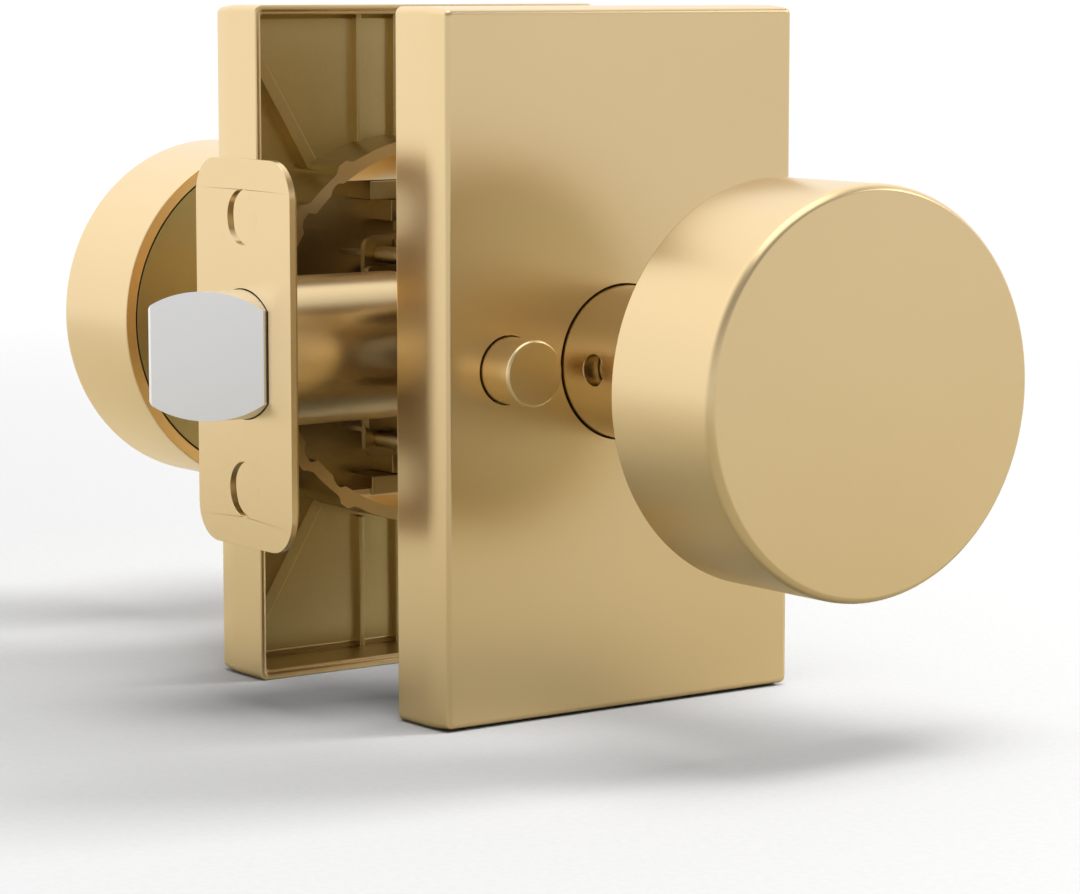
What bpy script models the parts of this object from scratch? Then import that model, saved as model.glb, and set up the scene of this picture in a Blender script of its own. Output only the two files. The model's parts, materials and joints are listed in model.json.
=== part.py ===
"""Privacy door knob set with flat rectangular roses, a tubular spring latch and a push button.

Frame: metres, +Z up. The origin is on the spindle axis, halfway through the door. The exterior side
is +Y, the interior side (with the push button) is -Y, and the latch points to the door's edge at -X.
Depths on either side are measured outward from the door's face, so one function makes both sides.
"""

from math import atan2, cos, hypot, pi, radians, sin, sqrt

import bmesh
import bpy
from mathutils import Matrix, Vector

MM = 0.001
SET_NAME = "privacy_door_knob"
GAP = 0.3 * MM                     # clearance between two pieces that touch or slide
CUT = 1.0 * MM                     # how far a cutter runs past the faces that it opens
WELD = 1e-7                        # vertices closer than this become one
SMOOTH_ANGLE = radians(35)         # edges flatter than this are shaded smooth

# door and roses
DOOR = 37.9 * MM                   # distance between the two roses' rims
ROSE_WIDTH = 64.2 * MM
ROSE_HEIGHT = 104.0 * MM
ROSE_DEPTH = 12.3 * MM
ROSE_WALL = 1.6 * MM
ROSE_FLOOR = 1.5 * MM
ROSE_EDGE = 0.9 * MM               # round of the visible edges
RING_OUT = 30.8 * MM               # round wall inside the rose, around the mechanism
RING_IN = 28.6 * MM
RING_DROP = 0.4 * MM               # ring and lands stop short of the rim
LAND_Z = 25.0 * MM                 # flat lands fill the ring above and below this height
LAND_DROP = 1.0 * MM
RIB_WIDTH = 1.1 * MM
RIB_HEIGHT = 1.2 * MM
RIB_PITCH = 7.0 * MM
BRACE_WIDTH = 2.0 * MM             # diagonal ribs to the corners
BRACE_HEIGHT = 2.0 * MM

# knob and neck
KNOB_R = 28.6 * MM
KNOB_DEPTH = 21.6 * MM
KNOB_BACK = 46.6 * MM              # from the door's face to the back of the knob
KNOB_EDGE = 1.7 * MM
KNOB_WALL = 1.8 * MM
KNOB_FACE = 2.2 * MM
BACK_PLATE = 2.0 * MM
NECK_R = 11.3 * MM
NECK_HOLE_R = 11.8 * MM            # hole in the rose
STUD_R = 7.0 * MM                  # neck's threaded end, inside the knob
STUD_LENGTH = 8.0 * MM
NUT_R = 10.5 * MM
NUT_HEIGHT = 4.0 * MM
TAIL_R = 8.8 * MM                  # neck's thin inner end
TAIL_TOP = 5.7 * MM
TAIL_END = -6.8 * MM
SPINDLE = 7.0 * MM                 # square
SOCKET = 7.6 * MM
SPINDLE_REACH = 36.0 * MM          # into each neck, from the door's face
SOCKET_SPARE = 2.0 * MM            # socket's free length past the spindle's end
SPINDLE_EDGE = 0.4 * MM
SCREW_DEPTH = 19.7 * MM            # set screw and cross pin, from the door's face
SCREW_HOLE_R = 2.5 * MM
SCREW_R = 2.2 * MM
SCREW_TOP_X = -8.6 * MM
SCREW_KEY_R = 1.2 * MM             # hexagon socket in the set screw
SCREW_KEY_DEPTH = 2.0 * MM
CROSS_PIN_R = 1.5 * MM
CROSS_PIN_REACH = 10.5 * MM

# mechanism inside each rose, as depths from the door's face
PLATE_R = 28.2 * MM
PLATE_LOW = 6.4 * MM
PLATE_HIGH = 8.0 * MM
BUSH_HOLE_R = 12.9 * MM
BUSH_FLANGE_R = 13.9 * MM
BUSH_FLANGE = 1.3 * MM
BUSH_TAIL = 0.2 * MM               # the bush stands out below the plate
PLATE_RELEASE_R = 2.0 * MM         # hole behind the emergency release hole
HOUSING_R = 13.7 * MM
HOUSING_WALL = 0.8 * MM
HOUSING_LOW = -4.4 * MM
CAM_R = 12.5 * MM
CAM_LOW = 2.9 * MM
CAM_HIGH = 5.2 * MM
DOG_IN = 10.0 * MM                 # cam's dog, which drives the return spring
DOG_OUT = 12.2 * MM
DOG_LOW = 1.4 * MM
DOG_HIGH = 4.0 * MM
DOG_HALF = 1.5 * MM
MOUTH_SPARE = 0.5 * MM             # housing's mouth around the neck's tail
COIL_R = 11.2 * MM
COIL_WIRE = 1.1 * MM
COIL_TURNS = 2.5
COIL_SPACE = 0.2 * MM              # free space between turns
COIL_START = 0.9 * MM              # first turn's centre above the housing's floor
CLIP_LOW = -5.5 * MM
CLIP_HIGH = -4.8 * MM
CLIP_RISE = 1.6 * MM               # circlip outside the tail's surface, and inside its groove
CLIP_GRIP = 0.6 * MM
CLIP_MOUTH = 3.0 * MM              # half of the circlip's opening
GROOVE_DEPTH = 0.9 * MM
BOLT_Z = 19.5 * MM                 # through bolts, above and below the spindle
BOLT_R = 1.9 * MM
BOLT_HEAD_R = 3.6 * MM
BOLT_HEAD = 2.1 * MM
BOLT_CHAMFER = 0.6 * MM
BOLT_HOLD = 6.0 * MM               # length of bolt inside its threaded post
BOLT_HOLE_SPARE = 0.4 * MM
DRIVE_DEPTH = 1.1 * MM             # cross recess in the bolt's head
DRIVE_REACH = 2.2 * MM
DRIVE_HALF = 0.5 * MM
POST_R = 3.2 * MM
POST_LOW = -8.0 * MM
POST_FLOOR = 2.0 * MM              # solid end of the post, under its riveted stub
POST_STUB_SPARE = 0.1 * MM
POST_STUB = 0.6 * MM

# push button
BUTTON_X = -20.9 * MM
BUTTON_R = 4.85 * MM
BUTTON_HOLE_R = 5.2 * MM
BUTTON_OUT = 6.6 * MM              # proud of the rose
BUTTON_EDGE = 0.5 * MM
BUTTON_FLANGE_R = 5.5 * MM
BUTTON_FLANGE = 1.0 * MM
BUTTON_BORE = 3.6 * MM             # depth of the button's bore for the stem
BUTTON_FOOT = 9.4 * MM
GUIDE_R = 6.4 * MM
GUIDE_IN = 5.8 * MM
GUIDE_LOW = 1.6 * MM
GUIDE_OUT = 0.9 * MM               # guide's rim above the chassis plate
GUIDE_FLOOR = 1.0 * MM
GUIDE_SPARE = 0.4 * MM             # around the stem
BUTTON_COIL_R = 4.2 * MM
BUTTON_WIRE = 0.6 * MM
BUTTON_TURNS = 4
STEM_R = 1.5 * MM
STEM_TIP_Y = -13.6 * MM
RELEASE_HOLE_R = 1.5 * MM          # emergency release, in the exterior rose

# latch
LATCH_Z = 1.3 * MM                 # the latch sits this much above the spindle
FACE_X = -46.4 * MM                # outer face of the faceplate
FACE_WIDTH = 26.0 * MM
FACE_HEIGHT = 57.15 * MM
FACE_THICK = 1.0 * MM
FACE_CORNER = 6.35 * MM
BASE_THICK = 0.7 * MM
BASE_INSET = 1.2 * MM              # base plate is smaller than the faceplate all round
FACE_SCREW_Z = 20.05 * MM
FACE_SCREW_R = 4.1 * MM
BASE_SCREW_R = 5.6 * MM            # wider screw holes in the base plate
BORE_R = 9.65 * MM                 # hole for the bolt, with two flats
BORE_FLAT = 7.0 * MM
HEAD_R = 9.5 * MM                  # bolt head
HEAD_FLAT = 6.6 * MM
HEAD_TIP_X = -58.5 * MM
HEAD_TIP_Y = 6.0 * MM
HEAD_BEVEL_X = -47.0 * MM          # where the bevel starts, on the -Y flat
HEAD_BACK_X = -38.6 * MM
WEDGE_SPARE = 4.0 * MM             # bevel cutter, outside the bolt head
WEDGE_LENGTH = 24.0 * MM
SEAT_BORE_R = 5.7 * MM             # shallow seat for the spring in the bolt's back
SEAT_BORE = 0.8 * MM
PIN_X = -41.0 * MM
PIN_R = 1.2 * MM
PIN_REACH = 8.3 * MM
TUBE_R = 11.05 * MM
TUBE_WALL = 1.0 * MM
TUBE_END_X = -20.0 * MM
NOTCH_SPARE = 2.0 * MM             # tube's notch for the button's stem
NOTCH_HALF = 1.9 * MM
NOTCH_Y = -9.0 * MM
TRAVEL = 12.0 * MM                 # of the bolt, for a turn of 60 degrees
ARM_IN = 7.2 * MM                  # retractor arms run beside the bolt's flats
ARM_OUT = 8.2 * MM
ARM_HALF = 5.0 * MM
ARM_FRONT_X = -44.0 * MM
YOKE_HALF = 12.5 * MM              # wide part of the arms, around the hub
YOKE_LEFT_X = -19.7 * MM
YOKE_RIGHT_X = 8.3 * MM
BAR_LEFT_X = -3.75 * MM
BAR_RIGHT_X = -1.35 * MM
BAR_LOW = 10.2 * MM
BAR_HIGH = 12.4 * MM
HUB_R = 5.9 * MM
HUB_REACH = 9.8 * MM
FINGER_R = 13.0 * MM
FINGER_HALF = 1.5 * MM
FINGER_WIDTH = 3.0 * MM
FINGER_TILT = radians(30)
CASE_IN = 8.6 * MM
CASE_OUT = 9.6 * MM
CASE_LEFT_X = -19.4 * MM
CASE_RIGHT_X = 22.0 * MM
CASE_HALF = 17.0 * MM
CASE_CORNER = 2.0 * MM
TAB_HALF = 1.6 * MM                # tongue of each side plate, into the tube
TAB_REACH = 4.6 * MM
RIVET_X = (-16.5 * MM, 19.5 * MM)
RIVET_Z = 14.2 * MM
RIVET_R = 1.3 * MM
RIVET_HEAD = 0.8 * MM              # height of the head, and its step outside the shank
SEAT_LOW_X = -14.1 * MM
SEAT_HIGH_X = -13.4 * MM
SEAT_SPARE = 0.4 * MM
SPRING_R = 5.0 * MM
SPRING_WIRE = 0.8 * MM
SPRING_TURNS = 7

PARTS = None
CUTTERS = None
SIDES = {"interior": -1, "exterior": 1}


# ---------------------------------------------------------------- scene and materials

def clear_scene():
    for obj in list(bpy.data.objects):
        bpy.data.objects.remove(obj, do_unlink=True)


def make_collection(name):
    collection = bpy.data.collections.new(name)
    bpy.context.scene.collection.children.link(collection)
    return collection


def make_material(name, colour, roughness, metallic):
    material = bpy.data.materials.new(name)
    material.use_nodes = True
    shader = material.node_tree.nodes["Principled BSDF"]
    shader.inputs["Base Color"].default_value = (*colour, 1)
    shader.inputs["Roughness"].default_value = roughness
    shader.inputs["Metallic"].default_value = metallic
    material.diffuse_color = (*colour, 1)
    return material


FINISHES = {
    "brass": ((0.71, 0.52, 0.25), 0.3, 1.0),
    "nickel": ((0.78, 0.78, 0.80), 0.28, 1.0),
    "steel": ((0.55, 0.55, 0.57), 0.4, 1.0),
    "nylon": ((0.80, 0.78, 0.72), 0.5, 0.0),
}


# ---------------------------------------------------------------- shape helpers

def add_object(name, bm, finish, smooth=True):
    """Turn a bmesh into a named part with its own material."""
    bmesh.ops.remove_doubles(bm, verts=bm.verts, dist=WELD)
    bmesh.ops.recalc_face_normals(bm, faces=bm.faces)
    if bm.calc_volume(signed=True) < 0:
        bmesh.ops.reverse_faces(bm, faces=bm.faces)
    mesh = bpy.data.meshes.new(name)
    bm.to_mesh(mesh)
    bm.free()
    obj = bpy.data.objects.new(name, mesh)
    if finish is None:
        CUTTERS.objects.link(obj)
        obj.hide_render = True
        obj.display_type = "WIRE"
        return obj
    PARTS.objects.link(obj)
    mesh.materials.append(make_material(name, *FINISHES[finish]))
    if smooth:
        mesh.shade_smooth()
        mesh.set_sharp_from_angle(angle=SMOOTH_ANGLE)
    return obj


def box(name, finish, x, y, z, edge=0, edge_test=None, turn=None):
    """A box from three (low, high) pairs; edge_test picks the edges to round; turn is a Matrix."""
    low = Vector((x[0], y[0], z[0]))
    high = Vector((x[1], y[1], z[1]))
    size = high - low
    place = Matrix.Translation((low + high) / 2) @ Matrix.Diagonal((*size, 1))
    bm = bmesh.new()
    bmesh.ops.create_cube(bm, size=1, matrix=place)
    if edge:
        picked = [e for e in bm.edges if edge_test(*(v.co for v in e.verts))]
        bmesh.ops.bevel(bm, geom=picked, offset=edge, segments=3, affect="EDGES", profile=0.5)
    if turn:
        bmesh.ops.transform(bm, matrix=turn, verts=bm.verts)
    return add_object(name, bm, finish, smooth=bool(edge))


def cylinder(name, finish, radius, low, high, axis, centre=(0, 0), sides=32):
    """A cylinder along an axis; centre holds the two other coordinates, in X, Y, Z order."""
    spin = {"X": Matrix.Rotation(pi / 2, 4, "Y"), "Y": Matrix.Rotation(-pi / 2, 4, "X"), "Z": Matrix()}
    middle = list(centre)
    middle.insert("XYZ".index(axis), (low + high) / 2)
    bm = bmesh.new()
    bmesh.ops.create_cone(bm, cap_ends=True, segments=sides, radius1=radius, radius2=radius,
                          depth=high - low, matrix=Matrix.Translation(middle) @ spin[axis])
    return add_object(name, bm, finish)


def turned(name, finish, profile, place, closed=True, sides=32):
    """Turn a (radius, height) profile about local Z with a Screw modifier, then place it."""
    mesh = bpy.data.meshes.new(name)
    points = [(radius, 0, height) for radius, height in profile]
    edges = [(i, i + 1) for i in range(len(points) - 1)]
    if closed:
        edges.append((len(points) - 1, 0))
    mesh.from_pydata(points, edges, [])
    guide = bpy.data.objects.new(name, mesh)
    CUTTERS.objects.link(guide)
    screw = guide.modifiers.new("turn", "SCREW")
    screw.steps = sides
    screw.render_steps = sides
    screw.use_merge_vertices = True
    screw.merge_threshold = 10 * WELD
    return add_object(name, placed_bmesh(guide, place), finish)


def placed_bmesh(guide, place):
    """The evaluated shape of a guide object, welded and placed; the guide is removed."""
    bpy.context.view_layer.update()
    evaluated = guide.evaluated_get(bpy.context.evaluated_depsgraph_get())
    mesh = bpy.data.meshes.new_from_object(evaluated)
    bm = bmesh.new()
    bm.from_mesh(mesh)
    bmesh.ops.remove_doubles(bm, verts=bm.verts, dist=10 * WELD)
    bmesh.ops.transform(bm, matrix=place, verts=bm.verts)
    bpy.data.meshes.remove(mesh)
    bpy.data.objects.remove(guide, do_unlink=True)
    return bm


def extruded(name, finish, loops, low, high, axis):
    """Extrude a flat outline (first loop) with holes (other loops) along X, Y or Z."""
    curve = bpy.data.curves.new(name, "CURVE")
    curve.dimensions = "2D"
    curve.fill_mode = "BOTH"
    curve.extrude = (high - low) / 2
    for loop in loops:
        spline = curve.splines.new("POLY")
        spline.points.add(len(loop) - 1)
        spline.use_cyclic_u = True
        for point, (across, up) in zip(spline.points, loop):
            point.co = (across, up, 0, 1)
    guide = bpy.data.objects.new(name, curve)
    CUTTERS.objects.link(guide)
    middle = (low + high) / 2
    rows = {
        "X": ((0, 0, 1, middle), (1, 0, 0, 0), (0, 1, 0, 0), (0, 0, 0, 1)),
        "Y": ((1, 0, 0, 0), (0, 0, -1, middle), (0, 1, 0, 0), (0, 0, 0, 1)),
        "Z": ((1, 0, 0, 0), (0, 1, 0, 0), (0, 0, 1, middle), (0, 0, 0, 1)),
    }
    return add_object(name, placed_bmesh(guide, Matrix(rows[axis])), finish)


def coil(name, finish, radius, wire, turns, start, pitch, place, per_turn=8):
    """A coil spring about local Z, its wire a bevelled poly spline."""
    curve = bpy.data.curves.new(name, "CURVE")
    curve.dimensions = "3D"
    curve.bevel_depth = wire / 2
    curve.bevel_resolution = 2
    curve.use_fill_caps = True
    count = round(turns * per_turn) + 1
    spline = curve.splines.new("POLY")
    spline.points.add(count - 1)
    for i, point in enumerate(spline.points):
        angle = 2 * pi * i / per_turn
        point.co = (radius * cos(angle), radius * sin(angle), start + pitch * i / per_turn, 1)
    guide = bpy.data.objects.new(name, curve)
    CUTTERS.objects.link(guide)
    return add_object(name, placed_bmesh(guide, place), finish)


def boolean(obj, tool, operation):
    modifier = obj.modifiers.new(operation.lower(), "BOOLEAN")
    modifier.operation = operation
    modifier.object = tool
    modifier.solver = "EXACT"


def cut(obj, *tools):
    for tool in tools:
        boolean(obj, tool, "DIFFERENCE")


def join(obj, *tools):
    for tool in tools:
        boolean(obj, tool, "UNION")


def side_place(side, x=0.0, z=0.0):
    """Local Z becomes the outward direction of a side, counted from the door's face."""
    return Matrix.Translation((x, side * DOOR / 2, z)) @ Matrix.Rotation(-side * pi / 2, 4, "X")


def side_y(side, low, high):
    """The (low, high) pair in Y of two depths counted outward from the door's face."""
    return tuple(sorted((side * (DOOR / 2 + low), side * (DOOR / 2 + high))))


def arc(centre, radius, start, end, steps):
    """Points on an arc, from one angle to another, in degrees."""
    angles = [radians(start + (end - start) * i / steps) for i in range(steps + 1)]
    return [(centre[0] + radius * cos(a), centre[1] + radius * sin(a)) for a in angles]


def circle(centre, radius, steps=32):
    return arc(centre, radius, 0, 360 - 360 / steps, steps - 1)


def rounded_rectangle(centre, width, height, corner, steps=5):
    loop = []
    for quarter, (sx, sy) in enumerate(((1, 1), (-1, 1), (-1, -1), (1, -1))):
        middle = (centre[0] + sx * (width / 2 - corner), centre[1] + sy * (height / 2 - corner))
        loop += arc(middle, corner, 90 * quarter, 90 * quarter + 90, steps)
    return loop


def two_flats(centre, radius, flat, steps=10):
    """A circle whose sides are cut flat at the given distance from its centre."""
    corner = atan2(sqrt(radius ** 2 - flat ** 2), flat) * 180 / pi
    upper = arc(centre, radius, corner, 180 - corner, steps)
    return upper + arc(centre, radius, 180 + corner, 360 - corner, steps)


def slot(left, right, height, half, steps=6):
    """A slot with round ends between two end points, along the first axis."""
    ends = arc((right - half, height), half, -90, 90, steps)
    return ends + arc((left + half, height), half, 90, 270, steps)


# ---------------------------------------------------------------- roses

def make_rose(label, side):
    half_w = ROSE_WIDTH / 2
    half_h = ROSE_HEIGHT / 2
    floor = ROSE_DEPTH - ROSE_FLOOR
    outer_y = side * (DOOR / 2 + ROSE_DEPTH)

    def visible(a, b):
        upright = abs(a.x - b.x) < MM / 10 and abs(a.z - b.z) < MM / 10
        return upright or (abs(a.y - outer_y) < MM / 10 and abs(b.y - outer_y) < MM / 10)

    rose = box(f"{label}_rose", "brass", (-half_w, half_w), side_y(side, 0, ROSE_DEPTH),
               (-half_h, half_h), ROSE_EDGE, visible)
    inner_w = half_w - ROSE_WALL
    inner_h = half_h - ROSE_WALL
    cut(rose, box(f"{label}_rose_hollow", None, (-inner_w, inner_w), side_y(side, -CUT, floor),
                  (-inner_h, inner_h)))
    join(rose, make_rose_ring(label, side, floor), make_rose_lands(label, side, floor))
    join(rose, *make_rose_ribs(label, side, floor))
    hole_y = side_y(side, floor - CUT, ROSE_DEPTH + CUT)
    cut(rose, cylinder(f"{label}_neck_hole", None, NECK_HOLE_R, *hole_y, "Y", sides=48))
    small_r = BUTTON_HOLE_R if side < 0 else RELEASE_HOLE_R
    cut(rose, cylinder(f"{label}_button_hole", None, small_r, *hole_y, "Y", (BUTTON_X, 0), 24))


def make_rose_ring(label, side, floor):
    top = floor + ROSE_FLOOR / 2
    profile = [(RING_OUT, top), (RING_OUT, RING_DROP), (RING_IN, RING_DROP), (RING_IN, top)]
    return turned(f"{label}_ring", None, profile, side_place(side), sides=48)


def make_rose_lands(label, side, floor):
    top = floor + ROSE_FLOOR / 2
    middle_r = (RING_OUT + RING_IN) / 2
    lands = cylinder(f"{label}_lands", None, middle_r, *side_y(side, LAND_DROP, top), "Y", sides=48)
    cut(lands, box(f"{label}_lands_gap", None, (-RING_OUT, RING_OUT),
                   side_y(side, -CUT, ROSE_DEPTH), (-LAND_Z, LAND_Z)))
    return lands


def make_rose_ribs(label, side, floor):
    """Three straight ribs above and below the ring, and a brace to each corner."""
    top = floor + ROSE_FLOOR / 2
    start = (RING_OUT + RING_IN) / 2
    ribs = []
    for up in (-1, 1):
        for column in (-1, 0, 1):
            x = column * RIB_PITCH
            z = sorted((up * (start - abs(column) * MM), up * (ROSE_HEIGHT / 2 - ROSE_WALL / 2)))
            ribs.append(box(f"{label}_rib", None, (x - RIB_WIDTH / 2, x + RIB_WIDTH / 2),
                            side_y(side, floor - RIB_HEIGHT, top), z))
    corner = (ROSE_WIDTH / 2 - ROSE_WALL, ROSE_HEIGHT / 2 - ROSE_WALL)
    length = hypot(*corner)
    for sx in (-1, 1):
        for sz in (-1, 1):
            turn = Matrix.Rotation(atan2(sx * corner[0], sz * corner[1]), 4, "Y")
            ribs.append(box(f"{label}_brace", None, (-BRACE_WIDTH / 2, BRACE_WIDTH / 2),
                            side_y(side, floor - BRACE_HEIGHT, top), (start, length + MM / 2),
                            turn=turn))
    return ribs


# ---------------------------------------------------------------- knob and neck

def make_knob_head(label, side):
    front = KNOB_BACK + KNOB_DEPTH
    fillet = arc((KNOB_R - KNOB_EDGE, front - KNOB_EDGE), KNOB_EDGE, 90, 0, 4)
    inner_r = KNOB_R - KNOB_WALL
    profile = [(0, front), *fillet, (KNOB_R, KNOB_BACK), (inner_r, KNOB_BACK),
               (inner_r, front - KNOB_FACE), (0, front - KNOB_FACE)]
    turned(f"{label}_knob_cup", "brass", profile, side_place(side), False, 56)
    hole_r = STUD_R + GAP
    plate_r = inner_r - GAP
    low, high = KNOB_BACK, KNOB_BACK + BACK_PLATE
    plate = [(plate_r, high), (plate_r, low), (hole_r, low), (hole_r, high)]
    turned(f"{label}_knob_back_plate", "brass", plate, side_place(side), sides=48)
    nut_low = high + GAP
    nut_y = side_y(side, nut_low, nut_low + NUT_HEIGHT)
    nut = cylinder(f"{label}_neck_nut", "steel", NUT_R, *nut_y, "Y", sides=6)
    bore_y = side_y(side, nut_low - CUT, nut_low + NUT_HEIGHT + CUT)
    cut(nut, cylinder(f"{label}_nut_bore", None, hole_r, *bore_y, "Y", sides=24))


def make_neck(label, side):
    shoulder = KNOB_BACK - GAP
    end = KNOB_BACK + STUD_LENGTH
    groove_r = TAIL_R - GROOVE_DEPTH
    groove_low = CLIP_LOW - GAP
    groove_high = CLIP_HIGH + GAP
    profile = [(0, end), (STUD_R, end), (STUD_R, shoulder), (NECK_R, shoulder),
               (NECK_R, TAIL_TOP), (TAIL_R, TAIL_TOP), (TAIL_R, groove_high),
               (groove_r, groove_high), (groove_r, groove_low), (TAIL_R, groove_low),
               (TAIL_R, TAIL_END), (0, TAIL_END)]
    neck = turned(f"{label}_neck", "brass", profile, side_place(side), closed=False)
    half = SOCKET / 2
    cut(neck, box(f"{label}_socket", None, (-half, half),
                  side_y(side, TAIL_END - CUT, SPINDLE_REACH + SOCKET_SPARE), (-half, half)))
    return neck


def make_set_screw(neck):
    """Grub screw in the interior neck, recessed in its hole and pressing on the spindle."""
    y = -(DOOR / 2 + SCREW_DEPTH)
    cut(neck, cylinder("set_screw_hole", None, SCREW_HOLE_R, -NECK_R - CUT, -SPINDLE / 2, "X",
                       (y, 0), 24))
    screw = cylinder("interior_set_screw", "steel", SCREW_R, SCREW_TOP_X, -SPINDLE / 2 - GAP, "X",
                     (y, 0), 24)
    cut(screw, cylinder("set_screw_socket", None, SCREW_KEY_R, SCREW_TOP_X - CUT,
                        SCREW_TOP_X + SCREW_KEY_DEPTH, "X", (y, 0), 6))


def make_cross_pin(neck, spindle):
    """Pin that holds the exterior neck on the spindle."""
    y = DOOR / 2 + SCREW_DEPTH
    reach = NECK_R + CUT
    hole = cylinder("cross_pin_hole", None, CROSS_PIN_R + GAP, -reach, reach, "X", (y, 0), 20)
    cut(neck, hole)
    cut(spindle, hole)
    cylinder("exterior_cross_pin", "steel", CROSS_PIN_R, -CROSS_PIN_REACH, CROSS_PIN_REACH, "X",
             (y, 0), 20)


def make_spindle():
    reach = DOOR / 2 + SPINDLE_REACH
    half = SPINDLE / 2
    return box("spindle", "steel", (-half, half), (-reach, reach), (-half, half),
               SPINDLE_EDGE, lambda a, b: abs(a.y - b.y) > reach)


# ---------------------------------------------------------------- mechanism inside the roses

def make_chassis(label, side):
    holes = [circle((0, 0), BUSH_HOLE_R, 32)]
    hole_r = BOLT_R + BOLT_HOLE_SPARE
    holes += [circle((0, up * BOLT_Z), hole_r, 12) for up in (-1, 1)]
    button_r = GUIDE_R + GAP if side < 0 else PLATE_RELEASE_R
    holes.append(circle((BUTTON_X, 0), button_r, 20))
    outline = [(x, z) for z, x in two_flats((0, 0), PLATE_R, LAND_Z - GAP, 14)]
    extruded(f"{label}_chassis_plate", "steel", [outline, *holes],
             *side_y(side, PLATE_LOW, PLATE_HIGH), "Y")


def make_bush(label, side):
    inner = NECK_R + GAP
    outer = BUSH_HOLE_R - GAP
    flange_low = PLATE_HIGH + GAP
    flange_high = flange_low + BUSH_FLANGE
    foot = PLATE_LOW - BUSH_TAIL
    profile = [(BUSH_FLANGE_R, flange_high), (BUSH_FLANGE_R, flange_low), (outer, flange_low),
               (outer, foot), (inner, foot), (inner, flange_high)]
    turned(f"{label}_neck_bush", "nylon", profile, side_place(side))


def make_spring_cassette(label, side):
    """Housing, torsion spring, driving cam and circlip, all around the neck's tail."""
    place = side_place(side)
    top = PLATE_LOW - GAP
    wall_r = HOUSING_R - HOUSING_WALL
    mouth_r = TAIL_R + MOUTH_SPARE
    floor = HOUSING_LOW + HOUSING_WALL
    housing = [(HOUSING_R, top), (HOUSING_R, HOUSING_LOW), (mouth_r, HOUSING_LOW), (mouth_r, floor),
               (wall_r, floor), (wall_r, top)]
    turned(f"{label}_spring_housing", "steel", housing, place)
    pitch = COIL_WIRE + COIL_SPACE
    coil(f"{label}_return_spring", "steel", COIL_R, COIL_WIRE, COIL_TURNS, floor + COIL_START, pitch,
         place, per_turn=10)
    bore = TAIL_R + GAP
    cam = turned(f"{label}_cam", "steel",
                 [(CAM_R, CAM_HIGH), (CAM_R, CAM_LOW), (bore, CAM_LOW), (bore, CAM_HIGH)],
                 place)
    join(cam, box(f"{label}_cam_dog", None, (DOG_IN, DOG_OUT), side_y(side, DOG_LOW, DOG_HIGH),
                  (-DOG_HALF, DOG_HALF)))
    clip_r = TAIL_R - CLIP_GRIP
    clip_out = TAIL_R + CLIP_RISE
    clip = turned(f"{label}_circlip", "steel",
                  [(clip_out, CLIP_HIGH), (clip_out, CLIP_LOW), (clip_r, CLIP_LOW),
                   (clip_r, CLIP_HIGH)], place)
    cut(clip, box(f"{label}_circlip_gap", None, (-CLIP_MOUTH, CLIP_MOUTH),
                  side_y(side, CLIP_LOW - CUT, CLIP_HIGH + CUT), (-clip_out - CUT, 0)))


def make_through_bolts():
    """Two screws from the interior plate into threaded posts on the exterior plate."""
    head = PLATE_HIGH + GAP
    top = head + BOLT_HEAD
    thread_end = -DOOR - POST_LOW - BOLT_HOLD
    for label, up in (("upper", 1), ("lower", -1)):
        z = up * BOLT_Z
        profile = [(0, top), (BOLT_HEAD_R - BOLT_CHAMFER, top), (BOLT_HEAD_R, top - BOLT_CHAMFER),
                   (BOLT_HEAD_R, head), (BOLT_R, head), (BOLT_R, thread_end), (0, thread_end)]
        bolt = turned(f"{label}_through_bolt", "steel", profile, side_place(-1, z=z), False, 20)
        slots = side_y(-1, top - DRIVE_DEPTH, top + CUT)
        for wide, high in ((DRIVE_REACH, DRIVE_HALF), (DRIVE_HALF, DRIVE_REACH)):
            cut(bolt, box("bolt_slot", None, (-wide, wide), slots, (z - high, z + high)))
        stub_r = BOLT_R + POST_STUB_SPARE
        stub = PLATE_HIGH + POST_STUB
        bore_r = BOLT_R + GAP
        seat = PLATE_LOW - GAP
        post = [(0, stub), (stub_r, stub), (stub_r, seat), (POST_R, seat), (POST_R, POST_LOW),
                (bore_r, POST_LOW), (bore_r, seat - POST_FLOOR), (0, seat - POST_FLOOR)]
        turned(f"{label}_threaded_post", "steel", post, side_place(1, z=z), False, 20)


# ---------------------------------------------------------------- push button

def make_button():
    place = side_place(-1, x=BUTTON_X)
    face = ROSE_DEPTH + BUTTON_OUT
    flange = BUTTON_FOOT + BUTTON_FLANGE
    bore_r = STEM_R + GAP
    bore_end = BUTTON_FOOT + BUTTON_BORE
    fillet = arc((BUTTON_R - BUTTON_EDGE, face - BUTTON_EDGE), BUTTON_EDGE, 90, 0, 3)
    profile = [(0, face), *fillet, (BUTTON_R, flange), (BUTTON_FLANGE_R, flange),
               (BUTTON_FLANGE_R, BUTTON_FOOT), (bore_r, BUTTON_FOOT), (bore_r, bore_end),
               (0, bore_end)]
    turned("privacy_button", "brass", profile, place, False, 28)
    cylinder("button_stem", "steel", STEM_R, -DOOR / 2 - bore_end + GAP, STEM_TIP_Y, "Y",
             (BUTTON_X, 0), 16)
    top = PLATE_HIGH + GUIDE_OUT
    floor = GUIDE_LOW + GUIDE_FLOOR
    hole_r = STEM_R + GUIDE_SPARE
    guide = [(GUIDE_R, top), (GUIDE_R, GUIDE_LOW), (hole_r, GUIDE_LOW), (hole_r, floor),
             (GUIDE_IN, floor), (GUIDE_IN, top)]
    turned("button_guide", "nylon", guide, place, sides=24)
    start = floor + GAP + BUTTON_WIRE / 2
    pitch = (BUTTON_FOOT - GAP - BUTTON_WIRE / 2 - start) / BUTTON_TURNS
    coil("button_spring", "steel", BUTTON_COIL_R, BUTTON_WIRE, BUTTON_TURNS, start, pitch, place)


# ---------------------------------------------------------------- latch

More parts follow.
